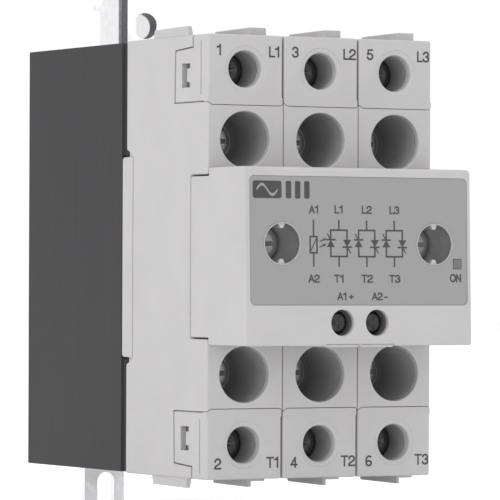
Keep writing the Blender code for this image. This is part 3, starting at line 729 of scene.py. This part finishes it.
def pole_base_mesh():
    """One pole's grey inner moulding: wells, bores, clamp chambers and power cavity."""
    half, top = high_mm("pole_base_2").x, high_mm("pole_base_2").z
    front, back = depths("pole_base_2")
    edge = BAY_Z + WALL + GAP
    outline = [
        (BAY_DEPTH + WALL + GAP, edge),
        (front, edge),
        (front, COVER_Z - 0.4),
        (COVER_PLATE + 0.4, COVER_Z - 0.4),
        (COVER_PLATE + 0.4, top),
        (back, top),
    ]
    block = softened(prism(mirrored(outline), "X", (-half, half)), 0.2)
    room, cavity = (-CHAMBER_HALF, CHAMBER_HALF), (-CAVITY_HALF, CAVITY_HALF)
    cutters = [
        cuboid(cavity, (CAVITY_FRONT, PAST_REAR), (-CAVITY_TOP, CAVITY_TOP)),
        cuboid(cavity, (20.0, PAST_REAR), (-16.0, 16.0)),
    ]
    for _, side in SIDES:
        cutters.append(cuboid(cavity, (16.6, PAST_REAR), span(side, 28.9, CAVITY_TOP)))
        chamber = span(side, CHAMBER_FLOOR, PAST_END)
        cutters.append(cuboid(room, (CHAMBER_FRONT, CHAMBER_BACK), chamber))
        cutters.append(rod(0, side * FIXING_Z, WELL_RADIUS, (0, WELL_DEPTH), FINE))
        cutters.append(rod(0, side * TERMINAL_Z, BORE_RADIUS, (1, SHELF_DEPTH)))
        cutters.append(rod(0, side * TERMINAL_Z, SCREW_HOLE, (8, 11), 32))
    hollowed = combined(block, cut=cutters)
    bosses = [rod(0, side * FIXING_Z, 4.5, (17.5, back), 32) for _, side in SIDES]
    holes = [rod(0, side * FIXING_Z, SCREW_HOLE, (14, PAST_REAR), 32) for _, side in SIDES]
    holes.append(rod(0, MODULE_SCREW.z, MODULE_SCREW_HOLE, (8, 17), 24))
    return combined(hollowed, add=bosses, cut=holes)


def mark_well_seats(mesh):
    """Paints shade on the seats at the bottom of a pole's two large wells, with a darker grey."""

    def on_seat(spot, normal):
        in_well = math.hypot(spot.x, abs(spot.z) - FIXING_Z) < WELL_RADIUS
        return in_well and abs(normal.y) > 0.9 and abs(spot.y - WELL_DEPTH) < 0.1

    mark(mesh, PAINTED_SHADE_GREY, on_seat)


def cover_windows(side, half):
    """Cutters for the snap windows and the grooves in a cover's two flaps."""
    low, high = WINDOW_ZS
    cutters = []
    for sign in (-1, 1):
        through = span(sign, half - 1.6, half + 1)
        cutters.append(cuboid(through, (8.9, 11.2), span(side, low, high)))
        for z in (low, high - 1.1):
            cutters.append(cuboid(through, (7.6, 9.4), span(side, z, z + 1.1)))
        groove = span(sign, half - 0.3, half + 1)
        cutters.append(cuboid(groove, (2.8, 3.1), span(side, 33.4, 44.5)))
    return cutters


def cover_mesh(side):
    """A lift-off cover: front plate, end strip and two side flaps, dished round its hole."""
    half = COVER_HALF + COVER_SWELL
    inner = half - COVER_FLAP
    block = softened(prism(flap_outline(side), "X", (-half, half)), 0.5, 4)
    lip = softened(prism(lip_outline(side), "Y", (0.0, COVER_PLATE)), 0.1, 2)
    room = cuboid((-inner, inner), (COVER_PLATE, 16.0), span(side, COVER_Z - 1, HALF_HEIGHT - WALL))
    rim = span(side, WINDOW_ZS[0] - 1.0, WINDOW_ZS[1] + 1.0)
    pads = [cuboid(span(sign, inner - WINDOW_PAD, inner + 0.2), (7.0, 12.4), rim) for sign in (-1, 1)]
    dish = [(5.1, -0.2), (4.9, 0.0), (4.78, 0.13), (4.5, 0.15)]
    dish += [(4.1, 0.17), (3.88, 0.3), (3.76, 0.6), (3.74, 2.5)]
    hole = turned(dish, FINE, 0, side * TERMINAL_Z)
    hollowed = combined(block, add=[lip], cut=[room])
    return combined(hollowed, add=pads, cut=[hole, *cover_windows(side, half)])


# ---- control module
def module_front(z):
    return -MODULE_REACH + MODULE_LEAN * z


def leaning(depth=0.0):
    """The turn that lays an upright panel on the module's leaning front, or a little behind it."""
    lean = Matrix.Rotation(-math.atan(MODULE_LEAN), 4, "X")
    return Matrix.Translation((0, (depth - MODULE_REACH) * MM, 0)) @ lean


def retaining_tab(x, side):
    """A small wedge that keeps the module's screw in its well."""
    low, tip = MODULE_WELL + 0.3, 3.1
    outline = [(x - 0.95, low * side), (x + 0.95, low * side), (x + 0.35, tip * side), (x - 0.35, tip * side)]
    outline = [(u, v + MODULE_SCREW.z) for u, v in outline]
    return softened(prism(outline, "Y", (TAB_BACK - 1.2, TAB_BACK)), 0.12)


def lamp_opening(half):
    return cuboid((LED.x - half, LED.x + half), (-18, -12), (LED.z - half, LED.z + half))


def module_mesh():
    top, low = high_mm("control_housing").z, low_mm("control_housing").z + LIP_DROP
    ear = BAY_Z - GAP
    soft, chin = 1.2, 0.5
    brow = arc(soft, 8, (module_front(top) + soft, top - soft), math.pi / 2, math.pi / 2)
    foot = arc(chin, 6, (module_front(low) + chin, low + chin), math.pi, math.pi / 2)
    outline = [(-0.4, low), (-0.4, -ear), (7.2, -ear), (7.2, ear), (-0.4, ear), (-0.4, top)]
    block = softened(prism(outline + brow + foot, "X", (-HALF_WIDTH, HALF_WIDTH)), 0.35)
    inner = HALF_WIDTH - MODULE_SIDE_WALL
    wells = (-MODULE_SCREW.x, MODULE_SCREW.x)
    controls = (-CONTROL_SCREW.x, CONTROL_SCREW.x)
    hollow = [
        cuboid((-inner, inner), MODULE_ROOM, (-14.6, 15.0)),
        cuboid((-8.4, 8.4), MODULE_ROOM, (-16.6, -9.4)),
    ]
    recess = rounded(LABEL_X, LABEL_Z, LABEL_CORNER)
    hollow.append(prism(recess, "Y", (-3.0, 0.8), leaning()))
    lip_xs = [(x - LIP_HALF_WIDTH, x + LIP_HALF_WIDTH) for x in controls]
    lips = [softened(cuboid(x, LIP_DEPTHS, (low - LIP_HANG, low + 1.0)), 0.15) for x in lip_xs]
    shell = combined(combined(block, add=lips), cut=hollow)
    tubes = [rod(x, MODULE_SCREW.z, 5.2, (-14.0, -3.4)) for x in wells]
    collar = (module_front(MODULE_SCREW.z) - 0.04, -14.0)
    rims = [softened(rod(x, MODULE_SCREW.z, MODULE_WELL + 0.2, collar, FINE), 0.06) for x in wells]
    cutters = []
    for x in wells:
        rim = module_front(MODULE_SCREW.z) + RIM_DEPTH
        cutters.append(rod(x, MODULE_SCREW.z, MODULE_WELL + 0.06, (-18, rim), FINE))
        cutters.append(rod(x, MODULE_SCREW.z, MODULE_WELL, (rim - 0.05, -5.0), FINE))
        cutters.append(rod(x, MODULE_SCREW.z, MODULE_SCREW_HOLE, (-6, -2), 24))
    for x in controls:
        mouth = module_front(CONTROL_SCREW.z)
        cutters.append(mouthed(x, CONTROL_SCREW.z, 2.7, mouth, 0.15, (mouth, mouth + DRIVER_RIM), ROUND))
        cutters.append(rod(x, CONTROL_SCREW.z, DRIVER_HOLE, (mouth + DRIVER_RIM - 0.05, -12)))
        entry = (x - ENTRY_HALF_WIDTH, x + ENTRY_HALF_WIDTH)
        cutters.append(cuboid(entry, (-11.6, -2.4), (-20, -16)))
    cutters += [cuboid(x, (-18, LIP_DEPTHS[0]), (low + 0.2, low + 0.38)) for x in lip_xs]
    cutters.append(lamp_opening(LAMP_HALF))
    pierced = combined(shell, add=tubes + rims, cut=cutters)
    return combined(pierced, add=[retaining_tab(x, side) for x in wells for _, side in SIDES])


def mark_inner_walls(mesh):
    """Paints shade on the walls of the module's wells and driver holes: in the wells a colour dark at the
    mouth and lighter further in, in the driver holes a darker grey.
    """

    def inside(spot, axis, rim):
        """How far from the axis a spot behind the rim lies."""
        deep = spot.y > module_front(spot.z) + rim
        return math.hypot(abs(spot.x) - axis.x, spot.z - axis.z) if deep else math.inf

    def in_well(spot, _):
        off_axis = inside(spot, MODULE_SCREW, RIM_DEPTH)
        behind_tabs = off_axis > MODULE_WELL - 0.05 or spot.y > TAB_BACK + 0.1
        return off_axis < MODULE_WELL + 0.01 and behind_tabs

    mark(mesh, PAINTED_SHADE_WELL_WALL, in_well)
    mark(mesh, PAINTED_SHADE_GREY, lambda spot, _: inside(spot, CONTROL_SCREW, DRIVER_RIM) < DRIVER_HOLE + 0.01)


def panel_mesh():
    g = LABEL_GAP
    across, upright = (LABEL_X[0] + g, LABEL_X[1] - g), (LABEL_Z[0] + g, LABEL_Z[1] - g)
    outline = rounded(across, upright, LABEL_CORNER - g)
    plate = softened(prism(outline, "Y", (0.0, 0.4), leaning(LABEL_SINK)), 0.03, 2)
    wells = [sign * MODULE_SCREW.x for sign in (-1, 1)]
    cutters = [rod(x, MODULE_SCREW.z, MODULE_WELL + 0.24, (-18, -12), FINE) for x in wells]
    cutters.append(lamp_opening(LAMP_HALF - 0.05))
    return combined(plate, cut=cutters)


def lens_mesh():
    front = module_front(LED.z) - 0.02
    outline = rounded((LED.x - 0.98, LED.x + 0.98), (LED.z - 0.98, LED.z + 0.98), 0.2, 4)
    return softened(prism(outline, "Y", (front, depths("led_light_pipe")[1])), 0.08, 2)


# ---- rail fixing
def bracket_mesh():
    """A channel in the heat sink's back: panel ear at the top, hooks over the rail."""
    front, web_back = BRACKET_FRONT, BRACKET_FRONT + BRACKET_SHEET
    web = cuboid((-4.5, 4.5), (front, web_back), (BRACKET_LOW, BRACKET_TOP))
    ear = cuboid((-4.5, 4.5), (front, front + EAR_DEPTH), (EAR_LOW, BRACKET_TOP))
    foot = cuboid((-4.2, 4.2), (front + 0.5, -0.6), (BRACKET_LOW, BRACKET_LOW + 1.4))
    side = [
        (front + 0.4, 46.0),
        (front + 3.0, 47.0),
        (front + 3.0, BRACKET_TOP - 0.2),
        (FLANGE_BACK - 1.2, BRACKET_TOP - 0.2),
        (FLANGE_BACK - 1.2, 57.3),
        (FLANGE_BACK, 57.3),
        (FLANGE_BACK, 15.0),
        (1.6, 15.0),
        (1.6, RAIL_HALF + 0.4),
        (-0.4, RAIL_HALF + 0.4),
        (-0.4, BRACKET_LOW),
        (front + 0.4, BRACKET_LOW),
    ]
    flanges = [prism(side, "X", span(sign, 4.0, 5.2)) for sign in (-1, 1)]
    pegs = [cuboid(span(sign, 4.6, 6.9), (FLANGE_BACK - 1.2, FLANGE_BACK), (55.8, 57.0)) for sign in (-1, 1)]
    solid = softened(combined(web, add=[ear, foot, *flanges, *pegs]), 0.2, 2)
    holes = [mouthed(0, BRACKET_HOLE_Z, BRACKET_HOLE, front, 0.15, (front, 1))]
    sink = [(2.4, front - 1), (2.4, front + 0.3), (3.6, web_back), (4.2, web_back + 0.6)]
    holes += [turned(sink, ROUND, 0, z) for z in BRACKET_SCREW_ZS]
    return combined(solid, cut=holes)


def latch_mesh():
    """The sprung latch: slider in the channel, hook behind the rail's lip, and fork."""
    slider = cuboid(STEM, (-3.0, -0.8), (-32.0, -14.0))
    bridge = cuboid(STEM, (-1.2, 5.8), (-21.0, -RAIL_HALF - 0.8))
    hook = cuboid(STEM, (1.6, 5.8), (-21.0, HOOK_TOP))
    left, right, low = FORK_LEFT, FORK_RIGHT, LATCH_LOW
    x, slot = FORK_SLOT_X, FORK_SLOT_RADIUS
    plate = [(STEM[1], HOOK_TOP), (STEM[1], -25.0), (right, -30.0), (right, low + 0.6), (right - 0.6, low)]
    plate += [(x + slot, low)] + arc(slot, 24, (x, FORK_SLOT_TOP), 0.0, math.pi) + [(x - slot, low)]
    plate += [(left + 0.6, low), (left, low + 0.6), (left, -30.0), (STEM[0], -25.0), (STEM[0], HOOK_TOP)]
    tail = prism(plate, "Y", (5.3, FLANGE_BACK))
    return softened(combined(slider, add=[bridge, hook, tail]), 0.2, 2)


def spring_mesh():
    """The latch's coil spring along Z, as a tube swept round a helix."""
    low, high = low_mm("latch_spring"), high_mm("latch_spring")
    turns, steps, sides, wire = 7, 24, 10, 0.25
    y = (low.y + high.y) / 2
    coil = (high.x - low.x) / 2 - wire
    bottom, top = low.z + wire, high.z - wire
    shape = bmesh.new()
    rings = []
    for i in range(turns * steps + 1):
        angle = 2 * math.pi * i / steps
        height = bottom + (top - bottom) * i / (turns * steps)
        ring = []
        for u, v in arc(wire, sides):
            spot = Vector(((coil + u) * math.cos(angle), y + (coil + u) * math.sin(angle), height + v))
            ring.append(shape.verts.new(spot * MM))
        rings.append(ring)
    skin(shape, rings)
    return mesh_of(shape)


def mark_cut_edges(mesh):
    """Gives the ear's sides and the wall of its hole the punched finish."""

    def punched(spot, normal):
        off_axis = math.hypot(spot.x, spot.z - BRACKET_HOLE_Z)
        in_hole = off_axis < BRACKET_HOLE + 0.2 and abs(normal.y) < 0.5
        on_ear = spot.z > EAR_LOW + 0.1 and spot.y < BRACKET_FRONT + EAR_DEPTH
        return in_hole or (on_ear and abs(normal.x) > 0.7 and abs(spot.x) > 4.0)

    mark(mesh, CUT_EDGE, punched)


# ---- printed marks
INK_THICKNESS = 0.03
FINE_STROKE = 0.24
WIRE_TOP, WIRE_LOW = 7.4, -1.8  # the ends of the circuit diagram's wires


def stroke(start, end, width=0.34):
    """A printed line."""
    a, b = Vector(start), Vector(end)
    step = (b - a).normalized() * width / 2
    across = Vector((-step.y, step.x))
    corners = [a - step + across, a - step - across, b + step - across, b + step + across]
    return prism([tuple(corner) for corner in corners], "Y", (-INK_THICKNESS, 0.01))


def oval(centre, reach, start, sweep, steps=10):
    """Points along an oval; angles are in quarter turns."""
    angles = [(start + sweep * i / steps) * math.pi / 2 for i in range(steps + 1)]
    return [(centre[0] + reach[0] * math.cos(a), centre[1] + reach[1] * math.sin(a)) for a in angles]


BOWL = oval((0.33, 0.28), (0.25, 0.22), -2, 4, 16)
LETTERS = {  # the lines of plain letters and digits, one unit high
    "1": [[(0.06, 0.76), (0.2, 0.8), (0.33, 0.95), (0.33, 0.06)]],
    "2": [oval((0.32, 0.7), (0.25, 0.24), 2, -2.6) + [(0.1, 0.24), (0.06, 0.06), (0.6, 0.06)]],
    "3": [oval((0.31, 0.72), (0.23, 0.22), 1.9, -2.8), oval((0.31, 0.29), (0.26, 0.23), 0.9, -2.8)],
    "4": [[(0.44, 0.06), (0.44, 0.94), (0.05, 0.29), (0.6, 0.29)]],
    "5": [[(0.55, 0.94), (0.15, 0.94), (0.1, 0.52)] + oval((0.31, 0.33), (0.26, 0.27), 1.4, -3.2)],
    "6": [BOWL, oval((0.36, 0.56), (0.28, 0.38), 0.6, 1.7), [(0.08, 0.5), (0.08, 0.28)]],
    "A": [[(0.04, 0.06), (0.34, 0.94), (0.64, 0.06)], [(0.14, 0.34), (0.54, 0.34)]],
    "L": [[(0.1, 0.94), (0.1, 0.06), (0.54, 0.06)]],
    "N": [[(0.1, 0.06), (0.1, 0.94), (0.58, 0.06), (0.58, 0.94)]],
    "O": [oval((0.36, 0.5), (0.3, 0.44), 0, 4, 20)],
    "T": [[(0.02, 0.94), (0.62, 0.94)], [(0.32, 0.94), (0.32, 0.06)]],
    "+": [[(0.12, 0.42), (0.56, 0.42)], [(0.34, 0.2), (0.34, 0.64)]],
    "-": [[(0.06, 0.38), (0.36, 0.38)]],
    " ": [],
}
ADVANCE = {"1": 0.56, "L": 0.62, "-": 0.4, " ": 0.16}  # widths that aren't the usual one
USUAL_ADVANCE = 0.72


def words(text, height, centre, weight=0.165, stretch=1.1):
    """Printed letters in the XZ plane that face -Y, centred on a point."""
    width = sum(ADVANCE.get(sign, USUAL_ADVANCE) for sign in text) - 0.08
    left = -width / 2
    shapes = []
    for sign in text:
        for line in LETTERS[sign]:
            spots = [((left + u) * stretch * height, (v - 0.5) * height) for u, v in line]
            spots = [(centre[0] + u, centre[1] + v) for u, v in spots]
            shapes += [stroke(a, b, weight * height) for a, b in zip(spots, spots[1:])]
        left += ADVANCE.get(sign, USUAL_ADVANCE)
    return united(shapes)


def filled(outline):
    return prism(outline, "Y", (-INK_THICKNESS, 0.01))


def wired(x, half, z):
    """A rectangle from its middle, half width and span, with a wire up and a wire down."""
    low, high = z
    corners = [(x - half, low), (x + half, low), (x + half, high), (x - half, high)]
    sides = [stroke(corners[i], corners[(i + 1) % 4]) for i in range(4)]
    return [stroke((x, WIRE_TOP), (x, high)), stroke((x, WIRE_LOW), (x, low)), *sides]


def thyristor(x, way):
    """A thyristor on a vertical line: way is 1 for up, -1 for down."""
    middle = 2.8
    low, tip = middle - way * 0.75, middle + way * 0.75
    return [
        filled([(x - 0.95, low), (x + 0.95, low), (x, tip)]),
        stroke((x - 0.95, tip), (x + 0.95, tip)),
        stroke((x - way * 0.1, tip), (x - way * 0.75, tip + way * 1.15), FINE_STROKE),
    ]


def light_arrow(x, z):
    """A small arrow that slants up to the right."""
    tip = (x + 1.5, z + 0.6)
    head = [tip, (x + 0.65, z + 0.62), (x + 0.95, z + 0.02)]
    return [stroke((x, z), (x + 1.0, z + 0.4), FINE_STROKE), filled(head)]


def circuit_strokes():
    """The relay's circuit: a coil that lights three pairs of back-to-back thyristors."""
    coil, loop_half = -10.8, 1.93
    shapes = wired(coil, 0.8, (0.85, 4.15))
    shapes.append(stroke((coil - 0.55, 1.4), (coil + 0.55, 3.6), 0.22))
    shapes += light_arrow(-9.3, 3.2) + light_arrow(-9.3, 2.05)
    for column in range(3):
        x = -4.82 + 6.6 * column
        shapes += wired(x, loop_half, (0.13, 5.5))
        shapes += thyristor(x - loop_half, 1) + thyristor(x + loop_half, -1)
    return shapes


def panel_words():
    texts = [("A1", 1.55, -10.65, 9.65), ("A2", 1.55, -10.75, -4.4), ("ON", 1.6, 23.1, -4.2)]
    texts += [("A1 +", 1.5, -3.35, -8.0), ("A2 -", 1.5, 4.7, -8.0)]
    for column in range(3):
        x = -4.8 + 6.62 * column
        texts += [(f"L{column + 1}", 1.55, x, 9.72), (f"T{column + 1}", 1.55, x, -4.4)]
    bold, wide = 0.19, 1.22
    return [words(text, height, (x, z), bold, wide) for text, height, x, z in texts]


def emblem():
    """A plain sign for three alternating-current poles: a wave in a block, and three bars."""
    x, z = (-24.9, -18.2), (11.85, 15.4)
    middle, reach = (z[0] + z[1]) / 2, 1.05
    block = filled(rounded(x, z, 0.5, 4))
    count = 28
    wave = []
    for i in range(count + 1):
        share = i / count
        across = x[0] + 0.9 + share * (x[1] - x[0] - 1.8)
        wave.append((across, middle + reach * math.sin(2 * math.pi * share)))
    upper = [(u, v + 0.3) for u, v in wave]
    lower = [(u, v - 0.3) for u, v in wave]
    cutter = prism(upper + lower[::-1], "Y", (-1, 1))
    bars = [filled(rounded((left, left + 1.25), z, 0.3, 3)) for left in (-17.2, -15.05, -12.9)]
    return joined([combined(block, cut=[cutter]), *bars])


# ---- assembly
def show_poles():
    base_mesh = pole_base_mesh()
    at = {number: (x, FACE, 0) for number, x in enumerate(POLE_CENTRES, 1)}
    head, tip = depths("clamp_screw_l1")
    shank = 2.5
    clamp = combined(
        pan_head(3.5, head + 1.0, SHELF_DEPTH - GAP, shank - 0.5, SHELF_DEPTH + 0.6, (4.0, 1.0, 0.8)),
        add=[thread(shank, 0.8, 0.45, (SHELF_DEPTH - 0.8, tip))],
    )
    well_head, well_tip = depths("fixing_screw_l1")
    fixing = pan_head(3.45, well_head + 0.2, WELL_DEPTH - 0.9, 2.5, well_tip, (4.4, 1.1, 1.3))
    washer = softened(rod(0, 0, 4.0, (WELL_DEPTH - 1.0, WELL_DEPTH - GAP)), 0.12, 2)
    fixing = combined(fixing, add=[washer])
    covers = {name: cover_mesh(side) for name, side in SIDES}
    for number, place in at.items():
        inner = show(f"inner_moulding_{number}", base_mesh, DARK, "base", place,
                     [f"pole_base_{number}"])
        # paints shade on the seats of the large wells
        mark_well_seats(inner.data)
        for name, side in SIDES:
            tag = f"{name}{number}"
            show(f"cover_{tag}", covers[name], LIGHT, f"cover_{tag}", place,
                 [f"terminal_cover_{tag}"])
            show(f"clamp_screw_fine_{tag}", clamp, SCREW_STEEL, f"screw_{tag}",
                 (place[0], FACE, side * TERMINAL_Z), [f"clamp_screw_{tag}"])
            show(f"fixing_screw_fine_{tag}", fixing, GREY_STEEL, "base",
                 (place[0], FACE, side * FIXING_Z), [f"fixing_screw_{tag}"])
            digit = 2 * number - 1 if side > 0 else 2 * number
            marks = [
                words(str(digit), 2.2, (-6.2, side * 42.5)),
                words(f"{name.upper()}{number}", 2.2, (6.8, side * 42.4)),
            ]
            show(f"cover_mark_{tag}", joined(marks), INK, f"cover_{tag}", place)


def show_control_module():
    at = (0, FACE, 0)
    module = show("module_housing", module_mesh(), LIGHT, "base", at, ["control_housing"])
    # paints shade in the module's wells and driver holes
    mark_inner_walls(module.data)
    show("front_panel", panel_mesh(), PANEL, "base", at, ["label_panel"])
    show("status_lens", lens_mesh(), LENS, "base", at, ["led_light_pipe"])
    prints = {
        "circuit_print": united(circuit_strokes()),
        "panel_print": joined(panel_words()),
        "panel_sign": emblem(),
    }
    for name, mesh in prints.items():
        mesh.transform(leaning(LABEL_SINK))
        show(name, mesh, INK, "base", at)
    head, tip = depths("module_screw_2")
    reach = high_mm("module_screw_2").x - MODULE_SCREW.x
    long_screw = pan_head(reach, head, -5.3, 1.8, tip, (4.2, 1.0, 1.3))
    small_head, small_tip = depths("control_screw_2")
    small = combined(
        pan_head(2.45, small_head, -12.8, 1.1, -12.2, (2.8, 0.7, 0.4)),
        add=[thread(1.5, 0.5, 0.3, (-13.2, small_tip), 28)],
    )
    for number, sign in enumerate((-1, 1), 1):
        show(f"module_screw_fine_{number}", long_screw, DULL_STEEL, "base",
             (sign * MODULE_SCREW.x, FACE, MODULE_SCREW.z), [f"module_screw_{number}"])
        show(f"control_screw_fine_{number}", small, SHADE_DARK_STEEL, f"control_screw_{number}",
             (sign * CONTROL_SCREW.x, FACE, CONTROL_SCREW.z), [f"control_screw_{number}"])


def show_rail_fixing():
    bracket = show("bracket", bracket_mesh(), ZINC, "base", (0, 0, 0), ["rail_bracket"])
    mark_cut_edges(bracket.data)
    show("latch", latch_mesh(), ZINC, "rail_latch", (0, 0, 0), ["rail_latch"])
    spring = show("latch_coil", spring_mesh(), ZINC, "base", (0, 0, 0), ["latch_spring"])
    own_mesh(spring)
    back = high_mm("bracket_screw_1").y
    screw = countersunk(3.3, back, 2.0, low_mm("bracket_screw_1").y, (3.8, 0.9, 1.2))
    for number, z in enumerate(BRACKET_SCREW_ZS, 1):
        show(f"bracket_screw_fine_{number}", screw, SCREW_STEEL, "base", (0, 0, z),
             [f"bracket_screw_{number}"])


def mark_sink_step(mesh):
    """Paints shade on the step along the front of the heat sink's sides, with a darker copy of the anodising.
    """
    side, front = high_mm("heat_sink").x, low_mm("heat_sink").y

    def on_step(spot, normal):
        set_in = side - 1.5 < abs(spot.x) < side - 0.1
        return set_in and abs(normal.x) > 0.7 and spot.y < front + 3

    mark(mesh, ANODISED_STEP_SHADE, on_step)


def finish_cad_nodes():
    """Rounds the edges of the CAD nodes that stay, and gives them their materials."""
    finishes = {
        "heat_sink": (ANODISED, 0.2),
        "control_base": (DARK, 0.15),
        "control_board": (BOARD, 0.05),
        "busbar": (COPPER, 0.12),
        "clamp_cage": (ZINC, 0.2),
        "control_cage": (ZINC, 0.12),
        "control_contact": (COPPER, 0.08),
        "power_substrate": (CERAMIC, 0.06),
        "thyristor_pair": (EPOXY, 0.1),
    }
    for name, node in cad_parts.items():
        found = [pair for prefix, pair in finishes.items() if name.startswith(prefix)]
        if node.hide_render or not found:
            continue
        finish, edge = found[0]
        node.data.materials.clear()
        node.data.materials.append(finish)
        if name == "heat_sink":
            # paints shade on the step along the heat sink's front
            mark_sink_step(node.data)
        weld = node.modifiers.new("weld", "WELD")
        weld.merge_threshold = 0.00001
        round_edges(node, edge, 2)
        level_faces(node)


# ---- stage, light and camera
def show_stage():
    low = cad_box[0].z
    mesh = bpy.data.meshes.new("floor")
    shape = bmesh.new()
    bmesh.ops.create_circle(shape, cap_ends=True, segments=64, radius=4.0)
    shape.to_mesh(mesh)
    shape.free()
    mesh.materials.append(floor_finish())
    floor = linked("floor", mesh)
    floor.location.z = low


def set_world():
    """A pale room: a little brighter to the eye than as a source of light."""
    world = bpy.data.worlds.new("studio")
    bpy.context.scene.world = world
    world.use_nodes = True
    tree = world.node_tree
    background = tree.nodes["Background"]
    background.inputs["Color"].default_value = (1.0, 1.0, 1.0, 1.0)
    path = added(tree, "LightPath")
    strength = ranged(tree, path.outputs["Is Camera Ray"], 0.88, 1.02, (0.0, 1.0))
    tree.links.new(strength, background.inputs["Strength"])


def soft_box(name, place, target, size, power):
    lamp = bpy.data.lights.new(name, "AREA")
    lamp.shape = "RECTANGLE"
    lamp.size, lamp.size_y = size
    lamp.energy = power
    item = linked(name, lamp)
    item.location = place
    item.rotation_euler = (Vector(target) - Vector(place)).to_track_quat("-Z", "Y").to_euler()


def set_camera():
    """A long lens level with the relay, to the left of its front."""
    yaw, pitch, roll = math.radians(29.199), math.radians(0.356), math.radians(0.213)
    right = Vector((math.cos(yaw), -math.sin(yaw), 0.0))
    ahead = Vector((math.sin(yaw) * math.cos(pitch), math.cos(yaw) * math.cos(pitch), math.sin(pitch)))
    up = right.cross(ahead)
    across = math.cos(roll) * right + math.sin(roll) * up
    upward = math.cos(roll) * up - math.sin(roll) * right
    data = bpy.data.cameras.new("camera")
    data.lens = 303.5
    data.sensor_width = 36.0
    camera = linked("camera", data)
    turn = Matrix((across, upward, -ahead)).transposed().to_4x4()
    camera.matrix_world = Matrix.Translation((-0.44036, -0.8413, -0.00396)) @ turn
    bpy.context.scene.camera = camera


show("housing", housing_mesh(), LIGHT, "base", (0, FACE, 0), ["housing_shell"])
show_poles()
show_control_module()
show_rail_fixing()
finish_cad_nodes()
show_stage()
set_world()
soft_box("key", (-2.4, -0.9, 0.9), (0, -0.04, 0), (1.6, 1.6), 18.5)
soft_box("front_fill", (-0.9, -1.9, 0.5), (0, -0.04, 0), (1.4, 1.0), 1.8)
soft_box("glint", (1.1, -1.95, 0.15), (0, -0.04, 0.03), (0.9, 0.9), 2.6)
soft_box("overhead", (0.0, 0.2, 2.6), (0, 0.0, 0), (3.0, 3.0), 26.0)
set_camera()
bpy.context.scene.view_settings.view_transform = "Standard"
